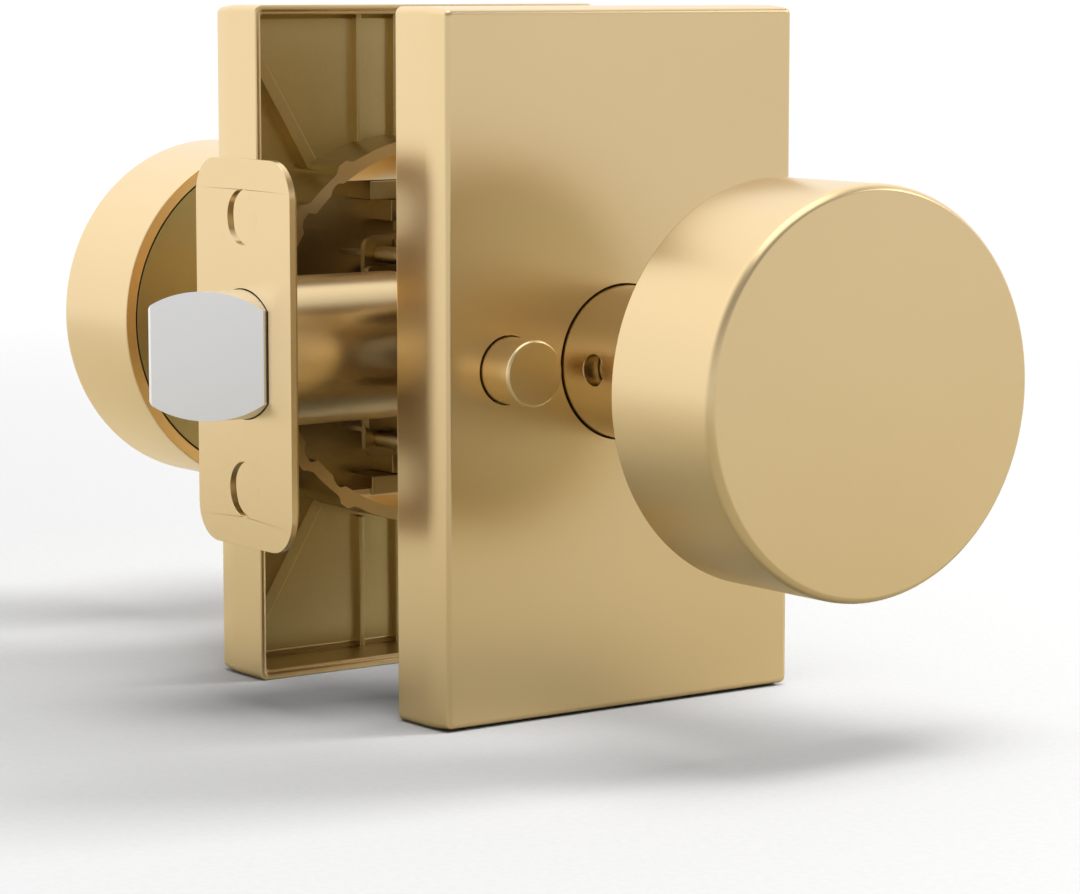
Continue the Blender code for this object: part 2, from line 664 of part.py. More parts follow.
def make_latch_plates():
    centre = (0, LATCH_Z)
    low = FACE_X + FACE_THICK + GAP
    rows = (("latch_faceplate", "brass", 0, FACE_SCREW_R, FACE_X, FACE_THICK),
            ("latch_base_plate", "steel", BASE_INSET, BASE_SCREW_R, low, BASE_THICK))
    for node, finish, inset, screw_r, front, thick in rows:
        outline = rounded_rectangle(centre, FACE_WIDTH - 2 * inset, FACE_HEIGHT - 2 * inset,
                                    FACE_CORNER - inset)
        screws = [circle((0, LATCH_Z + up * FACE_SCREW_Z), screw_r, 20) for up in (-1, 1)]
        loops = [outline, two_flats(centre, BORE_R, BORE_FLAT), *screws]
        extruded(node, finish, loops, front, front + thick, "X")
    return low + BASE_THICK


def make_tube(front_x):
    place = Matrix.Translation((0, 0, LATCH_Z)) @ Matrix.Rotation(pi / 2, 4, "Y")
    inner = TUBE_R - TUBE_WALL
    profile = [(TUBE_R, TUBE_END_X), (TUBE_R, front_x), (inner, front_x), (inner, TUBE_END_X)]
    tube = turned("latch_tube", "brass", profile, place, sides=40)
    notch_x = (BUTTON_X - NOTCH_SPARE, TUBE_END_X + CUT)
    cut(tube, box("stem_notch", None, notch_x, (-TUBE_R - CUT, NOTCH_Y), (-NOTCH_HALF, NOTCH_HALF)))


def make_bolt():
    centre = (0, LATCH_Z)
    outline = two_flats(centre, HEAD_R, HEAD_FLAT)
    head = extruded("latch_bolt", "nickel", [outline], HEAD_TIP_X, HEAD_BACK_X, "X")
    start = Vector((HEAD_BEVEL_X, -HEAD_FLAT))
    along = (Vector((HEAD_TIP_X, HEAD_TIP_Y)) - start).normalized()
    near = start - along * WEDGE_SPARE
    far = start + along * WEDGE_LENGTH
    wedge = [tuple(near), tuple(far), (far.x - WEDGE_SPARE, near.y - WEDGE_SPARE)]
    reach = HEAD_R + CUT
    cut(head, extruded("bolt_bevel", None, [wedge], LATCH_Z - reach, LATCH_Z + reach, "Z"))
    cut(head, cylinder("bolt_counterbore", None, SEAT_BORE_R, HEAD_BACK_X - SEAT_BORE,
                       HEAD_BACK_X + CUT, "X", centre, 24))
    cut(head, cylinder("bolt_pin_hole", None, PIN_R + GAP, -HEAD_R, HEAD_R, "Y", (PIN_X, LATCH_Z), 16))
    cylinder("bolt_cross_pin", "steel", PIN_R, -PIN_REACH, PIN_REACH, "Y", (PIN_X, LATCH_Z), 16)


def make_retractor():
    """Two arms that run beside the bolt, and two bars that the hub's fingers push."""
    low, high = LATCH_Z - ARM_HALF, LATCH_Z + ARM_HALF
    outline = [(ARM_FRONT_X, low), (YOKE_LEFT_X, low), (YOKE_LEFT_X, -YOKE_HALF),
               (YOKE_RIGHT_X, -YOKE_HALF), (YOKE_RIGHT_X, YOKE_HALF), (YOKE_LEFT_X, YOKE_HALF),
               (YOKE_LEFT_X, high), (ARM_FRONT_X, high)]
    hub_half = HUB_R + GAP
    hub_slot = slot(-TRAVEL - hub_half, hub_half, 0, hub_half, 12)
    pin_half = PIN_R + GAP
    pin_slot = slot(PIN_X - pin_half, PIN_X + TRAVEL + pin_half, LATCH_Z, pin_half)
    for label, side in SIDES.items():
        y = sorted((side * ARM_IN, side * ARM_OUT))
        extruded(f"retractor_{label}_arm", "steel", [outline, hub_slot, pin_slot], *y, "Y")
    reach = ARM_IN - GAP
    for label, up in (("upper", 1), ("lower", -1)):
        z = sorted((up * BAR_LOW, up * BAR_HIGH))
        box(f"retractor_{label}_bar", "steel", (BAR_LEFT_X, BAR_RIGHT_X), (-reach, reach), z)


def make_hub():
    hub = cylinder("latch_hub", "steel", HUB_R, -HUB_REACH, HUB_REACH, "Y", sides=28)
    for up in (-1, 1):
        turn = Matrix.Rotation(-FINGER_TILT if up > 0 else pi + FINGER_TILT, 4, "Y")
        join(hub, box("hub_finger", None, (-FINGER_HALF, FINGER_HALF), (-FINGER_WIDTH, FINGER_WIDTH),
                      (MM, FINGER_R), turn=turn))
    half = SOCKET / 2
    reach = HUB_REACH + CUT
    cut(hub, box("hub_socket", None, (-half, half), (-reach, reach), (-half, half)))


def make_case():
    """Two side plates, the spring's seat between them, and four rivets."""
    tab_x = CASE_LEFT_X - TAB_REACH
    body = rounded_rectangle(((CASE_LEFT_X + CASE_RIGHT_X) / 2, 0), CASE_RIGHT_X - CASE_LEFT_X,
                             2 * CASE_HALF, CASE_CORNER)
    steps = len(body) // 4
    outline = body[:2 * steps]
    outline += [(CASE_LEFT_X, LATCH_Z + TAB_HALF), (tab_x, LATCH_Z + TAB_HALF),
                (tab_x, LATCH_Z - TAB_HALF), (CASE_LEFT_X, LATCH_Z - TAB_HALF)]
    outline += body[2 * steps:]
    spots = [(x, up * RIVET_Z) for x in RIVET_X for up in (-1, 1)]
    holes = [circle(spot, RIVET_R + GAP, 12) for spot in spots]
    for label, side in SIDES.items():
        y = sorted((side * CASE_IN, side * CASE_OUT))
        extruded(f"latch_{label}_side_plate", "steel",
                 [outline, circle((0, 0), HUB_R + GAP, 24), *holes], *y, "Y")
    inner = CASE_OUT + GAP
    outer = inner + RIVET_HEAD
    head_r = RIVET_R + RIVET_HEAD
    for number, (x, z) in enumerate(spots, 1):
        profile = [(0, outer), (head_r, outer), (head_r, inner), (RIVET_R, inner), (RIVET_R, -inner),
                   (head_r, -inner), (head_r, -outer), (0, -outer)]
        place = Matrix.Translation((x, 0, z)) @ Matrix.Rotation(-pi / 2, 4, "X")
        turned(f"latch_rivet_{number}", "steel", profile, place, False, 10)
    narrow = ARM_IN - GAP
    wide = CASE_IN - GAP
    foot = YOKE_HALF + SEAT_SPARE
    top = CASE_HALF - SEAT_SPARE
    extruded("latch_spring_seat", "steel", [seat_outline(narrow, wide, foot, top)],
             SEAT_LOW_X, SEAT_HIGH_X, "X")


def seat_outline(narrow, wide, foot, top):
    """An upright strip with a wider head at each end."""
    quarter = [(narrow, foot), (wide, foot), (wide, top)]
    upper = quarter + [(-y, z) for y, z in reversed(quarter)]
    return upper + [(-y, -z) for y, z in upper]


def make_latch_spring():
    place = Matrix.Translation((0, 0, LATCH_Z)) @ Matrix.Rotation(pi / 2, 4, "Y")
    start = HEAD_BACK_X + GAP + SPRING_WIRE / 2
    pitch = (SEAT_LOW_X - GAP - SPRING_WIRE / 2 - start) / SPRING_TURNS
    coil("latch_spring", "steel", SPRING_R, SPRING_WIRE, SPRING_TURNS, start, pitch, place)


def main():
    global PARTS, CUTTERS
    clear_scene()
    PARTS = make_collection(SET_NAME)
    CUTTERS = make_collection("cutters")
    spindle = make_spindle()
    for label, side in SIDES.items():
        make_rose(label, side)
        make_knob_head(label, side)
        neck = make_neck(label, side)
        if side < 0:
            make_set_screw(neck)
        else:
            make_cross_pin(neck, spindle)
        make_chassis(label, side)
        make_bush(label, side)
        make_spring_cassette(label, side)
    make_through_bolts()
    make_button()
    make_tube(make_latch_plates() + GAP)
    make_bolt()
    make_retractor()
    make_hub()
    make_case()
    make_latch_spring()


main()
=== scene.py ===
"""Looks of the privacy door knob set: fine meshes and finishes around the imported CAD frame."""
import json
from math import atan2, cos, degrees, hypot, pi, radians, sin, sqrt, tan

import bmesh
import bpy
from mathutils import Matrix, Vector


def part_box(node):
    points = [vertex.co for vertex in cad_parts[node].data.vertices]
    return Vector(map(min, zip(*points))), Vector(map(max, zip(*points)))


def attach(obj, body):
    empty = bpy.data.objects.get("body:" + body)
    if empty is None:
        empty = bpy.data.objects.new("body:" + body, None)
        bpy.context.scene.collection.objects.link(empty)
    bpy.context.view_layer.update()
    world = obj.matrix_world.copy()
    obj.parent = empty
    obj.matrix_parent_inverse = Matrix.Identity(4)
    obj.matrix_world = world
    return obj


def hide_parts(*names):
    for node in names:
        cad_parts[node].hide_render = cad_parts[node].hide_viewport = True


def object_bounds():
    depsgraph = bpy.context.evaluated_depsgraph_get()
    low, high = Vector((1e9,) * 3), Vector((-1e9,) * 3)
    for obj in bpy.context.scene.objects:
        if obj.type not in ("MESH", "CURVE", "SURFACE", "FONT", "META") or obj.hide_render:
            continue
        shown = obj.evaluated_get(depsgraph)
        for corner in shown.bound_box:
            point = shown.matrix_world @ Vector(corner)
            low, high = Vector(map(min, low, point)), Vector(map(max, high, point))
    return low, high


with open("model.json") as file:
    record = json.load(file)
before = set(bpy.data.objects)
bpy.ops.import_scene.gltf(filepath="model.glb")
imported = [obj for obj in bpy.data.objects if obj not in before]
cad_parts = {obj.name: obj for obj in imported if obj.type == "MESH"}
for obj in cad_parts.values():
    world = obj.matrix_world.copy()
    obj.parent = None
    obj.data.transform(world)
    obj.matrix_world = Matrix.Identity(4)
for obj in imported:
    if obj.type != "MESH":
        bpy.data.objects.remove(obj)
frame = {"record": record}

CAD_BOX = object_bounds()
MM = 0.001
SIDES = {"interior": -1, "exterior": 1}
BODY_OF = {n: body for body, nodes in frame["record"]["behaviour"]["bodies"].items() for n in nodes}


# ---- camera, light and floor

TARGET = Vector((7.46, 0, -16.45)) * MM
AZIMUTH = radians(-36.10)
ELEVATION = radians(7.21)
DISTANCE = 573.5 * MM
LENS = 122.7
FLOOR_RADIUS = 6.0
CARD_RADIUS = 22 * MM
CARD_GAP = 0.3 * MM
CARD_POWER = 0.0009
CARD_COLOUR = (0.93, 1.0, 0.95)
# Brightness of the studio's wall (level, overhead) in front and behind, and where it changes over.
FRONT_GLOW = (0.81, 0.35)
FRONT_RISE = (0.1, 0.5)
BACK_GLOW = (1.08, 1.22)
BACK_RISE = (0.1, 0.6)
FRONT_TO_BACK = (-0.35, 0.35)
# The floor turns into the glowing wall between these distances from the object.
GLOW_START = 0.18
GLOW_FULL = 0.75
# The floor's colour for the camera, and its mirror image in the metal in front and behind.
FLOOR_SEEN = (0.256, 0.256, 0.256)
FLOOR_GRAIN = 0.01
MIRRORED_FRONT = (0.138, 0.130, 0.098)
MIRRORED_BACK = (0.240, 0.230, 0.190)
MIRRORED_TURN = (-0.05, 0.05)


def look_from(azimuth, elevation):
    """Unit vector from a target towards a viewer; azimuth 0 looks along +Y."""
    return Vector((sin(azimuth) * cos(elevation), -cos(azimuth) * cos(elevation), sin(elevation)))


def add_object(name, data):
    obj = bpy.data.objects.new(name, data)
    bpy.context.scene.collection.objects.link(obj)
    return obj


def make_camera():
    data = bpy.data.cameras.new("camera")
    data.lens = LENS
    data.clip_start = 0.01
    camera = add_object("camera", data)
    direction = look_from(AZIMUTH, ELEVATION)
    camera.location = TARGET + direction * DISTANCE
    camera.rotation_euler = direction.to_track_quat("Z", "Y").to_euler()
    bpy.context.scene.camera = camera


def area_light(name, shape, power):
    data = bpy.data.lights.new(name, "AREA")
    data.shape = shape
    data.energy = power
    return add_object(name, data)


def make_softbox(name, azimuth, elevation, distance, size, power, receivers=None):
    """A rectangular area light aimed at the object; it lights only its receivers, if they are given."""
    light = area_light(name, "RECTANGLE", power)
    light.data.size, light.data.size_y = size
    direction = look_from(radians(azimuth), radians(elevation))
    light.location = direction * distance
    light.rotation_euler = direction.to_track_quat("Z", "Y").to_euler()
    if receivers:
        light.light_linking.receiver_collection = receivers


def make_card(label, side):
    """A faint round card behind a knob that faces the rose and fills the dark gap between them."""
    card = area_light(f"{label}_card", "DISK", CARD_POWER)
    card.data.size = 2 * CARD_RADIUS
    card.data.color = CARD_COLOUR
    knob_back = min(abs(c.y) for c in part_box(f"{label}_knob_cup"))
    card.location.y = side * (knob_back - CARD_GAP)
    card.rotation_euler.x = side * -pi / 2
    card.visible_camera = False


def studio_glow(tree, direction):
    """Brightness of the white studio in a direction: bright behind the object, dimmer in front."""
    split = add_node(tree, "SeparateXYZ", Vector=direction)
    front = map_range(tree, split.outputs["Z"], *FRONT_GLOW, *FRONT_RISE)
    back = map_range(tree, split.outputs["Z"], *BACK_GLOW, *BACK_RISE)
    turn = map_range(tree, split.outputs["Y"], 0.0, 1.0, *FRONT_TO_BACK)
    return add_node(tree, "Mix", Factor=turn, A=front, B=back).outputs["Result"]


def make_world():
    world = bpy.data.worlds.new("studio")
    world.use_nodes = True
    tree = world.node_tree
    place = add_node(tree, "TexCoord")
    background = tree.nodes["Background"]
    tree.links.new(studio_glow(tree, place.outputs["Generated"]), background.inputs["Strength"])
    background.inputs["Color"].default_value = (1, 1, 1, 1)
    bpy.context.scene.world = world


def make_floor():
    mesh = bpy.data.meshes.new("floor")
    bm = bmesh.new()
    bmesh.ops.create_circle(bm, cap_ends=True, segments=96, radius=FLOOR_RADIUS)
    bm.to_mesh(mesh)
    bm.free()
    floor = add_object("floor", mesh)
    floor.location.z = CAD_BOX[0][2]
    mesh.materials.append(floor_material())
    receivers = bpy.data.collections.new("floor_only")
    receivers.objects.link(floor)
    return receivers


def add_node(tree, kind, **sources):
    """A shader node whose inputs are linked to sockets or set to numbers."""
    node = tree.nodes.new("ShaderNode" + kind)
    for socket, source in sources.items():
        if isinstance(source, (int, float)):
            node.inputs[socket].default_value = source
        else:
            tree.links.new(source, node.inputs[socket])
    return node


def new_material(name):
    material = bpy.data.materials.new(name)
    material.use_nodes = True
    return material, material.node_tree, material.node_tree.nodes["Principled BSDF"]


def floor_material():
    """Matte floor that turns into the glowing studio wall away from the object."""
    material, tree, shader = new_material("floor")
    material.cycles.emission_sampling = "NONE"
    shader.inputs["Roughness"].default_value = 0.7
    shader.inputs["Specular IOR Level"].default_value = 0.1
    grain = noise(tree, 900, 3)
    lighter = tuple(c + FLOOR_GRAIN for c in FLOOR_SEEN)
    seen = colour_ramp(tree, grain, ((0.3, FLOOR_SEEN), (0.7, lighter)))
    place = add_node(tree, "TexCoord")
    split = add_node(tree, "SeparateXYZ", Vector=place.outputs["Object"])
    behind = map_range(tree, split.outputs["Y"], 0.0, 1.0, *MIRRORED_TURN)
    mirrored = mix_colours(tree, behind, MIRRORED_FRONT, MIRRORED_BACK)
    path = add_node(tree, "LightPath")
    tint = mix_colours(tree, path.outputs["Is Camera Ray"], mirrored, seen)
    tree.links.new(tint, shader.inputs["Base Color"])
    outward, length = (add_node(tree, "VectorMath") for _ in range(2))
    for node, operation in ((outward, "NORMALIZE"), (length, "LENGTH")):
        node.operation = operation
        tree.links.new(place.outputs["Object"], node.inputs[0])
    glow = add_node(tree, "Emission")
    tree.links.new(studio_glow(tree, outward.outputs["Vector"]), glow.inputs["Strength"])
    far = map_range(tree, length.outputs["Value"], 0.0, 1.0, GLOW_START, GLOW_FULL)
    blend = add_node(tree, "MixShader", Fac=far)
    tree.links.new(shader.outputs["BSDF"], blend.inputs[1])
    tree.links.new(glow.outputs["Emission"], blend.inputs[2])
    tree.links.new(blend.outputs["Shader"], tree.nodes["Material Output"].inputs["Surface"])
    return material


# ---- material nodes

BLOTCH = 40
SPECK_SHARE = 0.25
GLOSS_SPREAD = 0.008


def noise(tree, scale, detail=2.0, roughness=0.5):
    """Noise in the row frame's metres; scale is in features per metre."""
    place = add_node(tree, "TexCoord").outputs["Object"]
    texture = add_node(tree, "TexNoise", Vector=place, Scale=scale, Detail=detail, Roughness=roughness)
    return texture.outputs["Fac"]


def colour_ramp(tree, value, stops):
    ramp = add_node(tree, "ValToRGB", Fac=value)
    ramp.color_ramp.interpolation = "EASE"
    elements = ramp.color_ramp.elements
    while len(elements) < len(stops):
        elements.new(0.5)
    for element, (position, colour) in zip(elements, stops):
        element.position = position
        element.color = (*colour, 1)
    return ramp.outputs["Color"]


def map_range(tree, value, low, high, start=0.3, end=0.7, kind="LINEAR"):
    node = add_node(tree, "MapRange", Value=value)
    node.interpolation_type = kind
    for socket, number in zip(("From Min", "From Max", "To Min", "To Max"), (start, end, low, high)):
        node.inputs[socket].default_value = number
    return node.outputs["Result"]


def mix_colours(tree, factor, first, second):
    node = add_node(tree, "Mix", Factor=factor)
    node.data_type = "RGBA"
    for socket, value in (("A", first), ("B", second)):
        plug = [i for i in node.inputs if i.name == socket and i.type == "RGBA"][0]
        if isinstance(value, tuple):
            plug.default_value = (*value, 1)
        else:
            tree.links.new(value, plug)
    return [o for o in node.outputs if o.type == "RGBA"][0]


def bump(tree, height, strength, distance):
    node = add_node(tree, "Bump", Strength=strength, Distance=distance, Height=height)
    return node.outputs["Normal"]


def metal(name, dark, light, roughness, grain=2600, depth=0.25e-6):
    """Satin metal: slow blotches of tone and gloss under a very fine grain.

    No roughness may cross 0.274, where the denoiser changes over and leaves contour lines.
    """
    material, tree, shader = new_material(name)
    shader.inputs["Metallic"].default_value = 1.0
    fine = noise(tree, grain, 1, 0.4)
    slow = noise(tree, BLOTCH, 0)
    tone = colour_ramp(tree, slow, ((0.25, dark), (0.75, light)))
    speck = colour_ramp(tree, fine, ((0.25, dark), (0.75, light)))
    tree.links.new(mix_colours(tree, SPECK_SHARE, tone, speck), shader.inputs["Base Color"])
    ends = (roughness - GLOSS_SPREAD, roughness + GLOSS_SPREAD)
    gloss = map_range(tree, slow, *ends, 0.2, 0.8, "SMOOTHERSTEP")
    tree.links.new(gloss, shader.inputs["Roughness"])
    tree.links.new(bump(tree, fine, 0.3, depth), shader.inputs["Normal"])
    return material


def plastic(name, dark, light, roughness):
    material, tree, shader = new_material(name)
    shader.inputs["Subsurface Weight"].default_value = 0.05
    fine = noise(tree, 1800, 3, 0.6)
    slow = noise(tree, 90, 2)
    tree.links.new(colour_ramp(tree, slow, ((0.3, dark), (0.7, light))), shader.inputs["Base Color"])
    gloss = map_range(tree, fine, roughness - 0.04, roughness + 0.06)
    tree.links.new(gloss, shader.inputs["Roughness"])
    tree.links.new(bump(tree, fine, 0.3, 8e-6), shader.inputs["Normal"])
    return material


COARSE = {"grain": 1600, "depth": 1.5e-6}
FINISH = {
    "brass": metal("satin_brass", (0.815, 0.62, 0.346), (0.835, 0.638, 0.36), 0.285),
    # Brass darkened with painted shade, for the knobs' rear discs that face the dark gap to the rose.
    "painted_shade": metal("painted_shade_brass", (0.40, 0.365, 0.22), (0.43, 0.39, 0.235), 0.30),
    # Darker cast brass for the roses' insides and the set screw: partly unpolished casting, partly
    # painted shade for the deep cavity.
    "cast_and_shade": metal("cast_brass_and_shade", (0.54, 0.42, 0.20), (0.60, 0.465, 0.225), 0.33, **COARSE),
    "plate": metal("yellow_zinc", (0.46, 0.34, 0.155), (0.54, 0.40, 0.19), 0.31, **COARSE),
    "steel": metal("zinc_steel", (0.46, 0.45, 0.43), (0.54, 0.53, 0.51), 0.32, **COARSE),
    "wire": metal("spring_wire", (0.38, 0.38, 0.39), (0.47, 0.47, 0.48), 0.30, **COARSE),
    "nickel": metal("satin_nickel", (0.90, 0.905, 0.94), (0.93, 0.935, 0.97), 0.30),
    "nylon": plastic("white_nylon", (0.70, 0.68, 0.62), (0.78, 0.76, 0.70), 0.5),
}


# ---- mesh helpers

WELD = 1e-7
CURVE_WELD = 1e-6
DISSOLVE_ANGLE = radians(0.3)
LEVEL = cos(radians(0.5))
PATCH_LEVEL = cos(radians(0.8))
NORMAL_FAN = cos(radians(52))


def mesh_object(name, bm, finish=None, sharp=32):
    bmesh.ops.remove_doubles(bm, verts=bm.verts, dist=WELD)
    bmesh.ops.recalc_face_normals(bm, faces=bm.faces)
    if bm.calc_volume(signed=True) < 0:
        bmesh.ops.reverse_faces(bm, faces=bm.faces)
    mesh = bpy.data.meshes.new(name)
    bm.to_mesh(mesh)
    bm.free()
    obj = add_object(name, mesh)
    if finish:
        mesh.materials.append(FINISH[finish])
    shade(mesh, sharp)
    return obj


def shade(mesh, sharp):
    mesh.shade_smooth()
    mesh.set_sharp_from_angle(angle=radians(sharp))


def settle(obj, sharp=32):
    """Apply an object's modifiers to its mesh."""
    bpy.context.view_layer.update()
    evaluated = obj.evaluated_get(bpy.context.evaluated_depsgraph_get())
    mesh = bpy.data.meshes.new_from_object(evaluated)
    old = obj.data
    obj.modifiers.clear()
    obj.data = mesh
    bpy.data.meshes.remove(old)
    shade(mesh, sharp)
    return obj


def boolean(obj, tools, operation):
    for tool in tools:
        modifier = obj.modifiers.new("boolean", "BOOLEAN")
        modifier.operation = operation
        modifier.object = tool
        modifier.solver = "EXACT"
    settle(obj)
    for tool in tools:
        bpy.data.objects.remove(tool, do_unlink=True)
    return obj


def cut(obj, *tools):
    return boolean(obj, tools, "DIFFERENCE")


def join(obj, *tools):
    return boolean(obj, tools, "UNION")


def soften(obj, width, segments=2, angle=40):
    """Round the sharp edges and keep the flats flat."""
    modifier = obj.modifiers.new("soft_edges", "BEVEL")
    modifier.width = width
    modifier.segments = segments
    modifier.limit_method = "ANGLE"
    modifier.angle_limit = radians(angle)
    modifier.harden_normals = True
    modifier.use_clamp_overlap = True
    settle(obj, 60)
    return obj


def block(name, finish, x, y, z, edge=0.2 * MM, segments=2, turn=None):
    """A box from three (low, high) pairs, with rounded edges."""
    low = Vector((min(x), min(y), min(z)))
    high = Vector((max(x), max(y), max(z)))
    place = Matrix.Translation((low + high) / 2) @ Matrix.Diagonal((*(high - low), 1))
    bm = bmesh.new()
    bmesh.ops.create_cube(bm, size=1, matrix=place)
    if turn:
        bmesh.ops.transform(bm, matrix=turn, verts=bm.verts)
    obj = mesh_object(name, bm, finish)
    if edge:
        soften(obj, edge, segments)
    return obj


def box_block(name, finish, node, edge):
    """A block as large as a node's box."""
    return block(name, finish, *zip(*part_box(node)), edge, 3)


def arc(centre, radius, start, end, steps):
    angles = [radians(start + (end - start) * i / steps) for i in range(steps + 1)]
    return [(centre[0] + radius * cos(a), centre[1] + radius * sin(a)) for a in angles]


def circle(centre, radius, steps=64):
    return arc(centre, radius, 0, 360 - 360 / steps, steps - 1)


def fillet(points, radius, closed=True, steps=3):
    """Round each corner of an outline; open ends stay as they are."""
    result = []
    count = len(points)
    for i, point in enumerate(points):
        if not closed and i in (0, count - 1):
            result.append(point)
            continue
        here = Vector(point)
        back = Vector(points[i - 1]) - here
        ahead = Vector(points[(i + 1) % count]) - here
        half = back.angle(ahead, pi) / 2
        if half > radians(84):
            result.append(point)
            continue
        reach = min(radius / tan(half), back.length * 0.45, ahead.length * 0.45)
        first = here + back.normalized() * reach
        last = here + ahead.normalized() * reach
        for k in range(steps + 1):
            t = k / steps
            spot = first * (1 - t) ** 2 + here * 2 * t * (1 - t) + last * t ** 2
            result.append(tuple(spot))
    return result


def lathe(name, finish, profile, place, edge=0.2 * MM, closed=True, sides=96):
    """Turn a (radius, height) profile about local Z; its corners are rounded by edge."""
    points = fillet(profile, edge, closed) if edge else profile
    bm = bmesh.new()
    rings = []
    for radius, height in points:
        if radius < 1e-7:
            rings.append([bm.verts.new((0, 0, height))] * sides)
            continue
        ring = [2 * pi * i / sides for i in range(sides)]
        rings.append([bm.verts.new((radius * cos(a), radius * sin(a), height)) for a in ring])
    pairs = list(zip(rings, rings[1:]))
    if closed:
        pairs.append((rings[-1], rings[0]))
    for near, far in pairs:
        for i in range(sides):
            k = (i + 1) % sides
            corners = list(dict.fromkeys((near[i], near[k], far[k], far[i])))
            if len(corners) > 2:
                bm.faces.new(corners)
    bmesh.ops.transform(bm, matrix=place, verts=bm.verts)
    return mesh_object(name, bm, finish)


def rod(radius, low, high):
    return [(0, high), (radius, high), (radius, low), (0, low)]


def tube(outer, inner, low, high):
    return [(outer, high), (outer, low), (inner, low), (inner, high)]


def along(axis, origin=(0, 0, 0), sign=1):
    """Matrix whose local Z runs along an axis, in either direction."""
    turns = {
        "X": Matrix.Rotation(sign * pi / 2, 4, "Y"),
        "Y": Matrix.Rotation(-sign * pi / 2, 4, "X"),
    }
    return Matrix.Translation(origin) @ turns[axis]


def prism(name, finish, loops, low, high, axis, edge=0.15 * MM, segments=2):
    """Extrude an outline (first loop) with holes (other loops) along X, Y or Z."""
    curve = bpy.data.curves.new(name, "CURVE")
    curve.dimensions = "2D"
    curve.fill_mode = "BOTH"
    curve.extrude = abs(high - low) / 2
    for loop in loops:
        spline = curve.splines.new("POLY")
        spline.points.add(len(loop) - 1)
        spline.use_cyclic_u = True
        for point, (across, up) in zip(spline.points, loop):
            point.co = (across, up, 0, 1)
    middle = (low + high) / 2
    rows = {
        "X": ((0, 0, 1, middle), (1, 0, 0, 0), (0, 1, 0, 0), (0, 0, 0, 1)),
        "Y": ((1, 0, 0, 0), (0, 0, -1, middle), (0, 1, 0, 0), (0, 0, 0, 1)),
        "Z": ((1, 0, 0, 0), (0, 1, 0, 0), (0, 0, 1, middle), (0, 0, 0, 1)),
    }
    obj = mesh_object(name, from_curve(curve, name, Matrix(rows[axis])), finish)
    if edge:
        soften(obj, edge, segments)
    return obj


def from_curve(curve, name, place):
    """The evaluated mesh of a curve as a welded bmesh; the curve is removed."""
    guide = add_object(name, curve)
    bpy.context.view_layer.update()
    evaluated = guide.evaluated_get(bpy.context.evaluated_depsgraph_get())
    mesh = bpy.data.meshes.new_from_object(evaluated)
    bm = bmesh.new()
    bm.from_mesh(mesh)
    bmesh.ops.remove_doubles(bm, verts=bm.verts, dist=CURVE_WELD)
    bmesh.ops.transform(bm, matrix=place, verts=bm.verts)
    bpy.data.meshes.remove(mesh)
    bpy.data.objects.remove(guide, do_unlink=True)
    return bm


def coil(name, finish, radius, wire, turns, start, end, place, closed_turns=0.75):
    """A wound spring about local Z between the outsides of its end turns, which are closed."""
    curve = bpy.data.curves.new(name, "CURVE")
    curve.dimensions = "3D"
    curve.bevel_depth = wire / 2
    curve.bevel_resolution = 3
    curve.use_fill_caps = True
    per_turn = 28
    count = round(turns * per_turn) + 1
    spline = curve.splines.new("POLY")
    spline.points.add(count - 1)
    first = start + wire / 2
    length = end - wire / 2 - first
    for i, point in enumerate(spline.points):
        angle = 2 * pi * i / per_turn
        rise = spring_height(i / per_turn, turns, closed_turns, wire, length)
        point.co = (radius * cos(angle), radius * sin(angle), first + rise, 1)
    return mesh_object(name, from_curve(curve, name, place), finish, 50)


def spring_height(turn, turns, closed, wire, length):
    """Height of the wire at a turn: nearly flat at both ends, even in between."""
    flat = wire * 1.04 * closed
    if turn < closed:
        return flat * turn / closed
    if turn > turns - closed:
        return length - flat * (turns - turn) / closed
    return flat + (length - 2 * flat) * (turn - closed) / (turns - 2 * closed)


def merge_flats(mesh):
    """Make each flat patch of few, well shaped faces."""
    bm = bmesh.new()
    bm.from_mesh(mesh)
    bmesh.ops.dissolve_limit(bm, angle_limit=DISSOLVE_ANGLE, verts=bm.verts, edges=bm.edges,
                             delimit={"MATERIAL"})
    bmesh.ops.triangulate(bm, faces=[f for f in bm.faces if len(f.verts) > 4])
    inner = [e for e in bm.edges if len(e.link_faces) == 2
             and all(len(f.verts) == 3 for f in e.link_faces)
             and e.link_faces[0].normal.dot(e.link_faces[1].normal) > LEVEL
             and e.link_faces[0].material_index == e.link_faces[1].material_index]
    faces = list({f for e in inner for f in e.link_faces})
    bmesh.ops.beautify_fill(bm, faces=faces, edges=inner, method="ANGLE")
    bm.to_mesh(mesh)
    bm.free()


def flat_patches(mesh):
    """For each face, the mean normal and squared area of the flat patch that it lies in."""
    beside = {}
    for polygon in mesh.polygons:
        for key in polygon.edge_keys:
            beside.setdefault(key, []).append(polygon.index)
    rows = [None] * len(mesh.polygons)
    for first in range(len(rows)):
        if rows[first]:
            continue
        rows[first] = True
        patch = [first]
        for index in patch:
            here = mesh.polygons[index]
            for other in (o for key in here.edge_keys for o in beside[key]):
                if not rows[other] and here.normal.dot(mesh.polygons[other].normal) > PATCH_LEVEL:
                    rows[other] = True
                    patch.append(other)
        total = Vector((0, 0, 0))
        for index in patch:
            total += mesh.polygons[index].normal * mesh.polygons[index].area
        for index in patch:
            rows[index] = (total.normalized(), total.length_squared)
    return rows


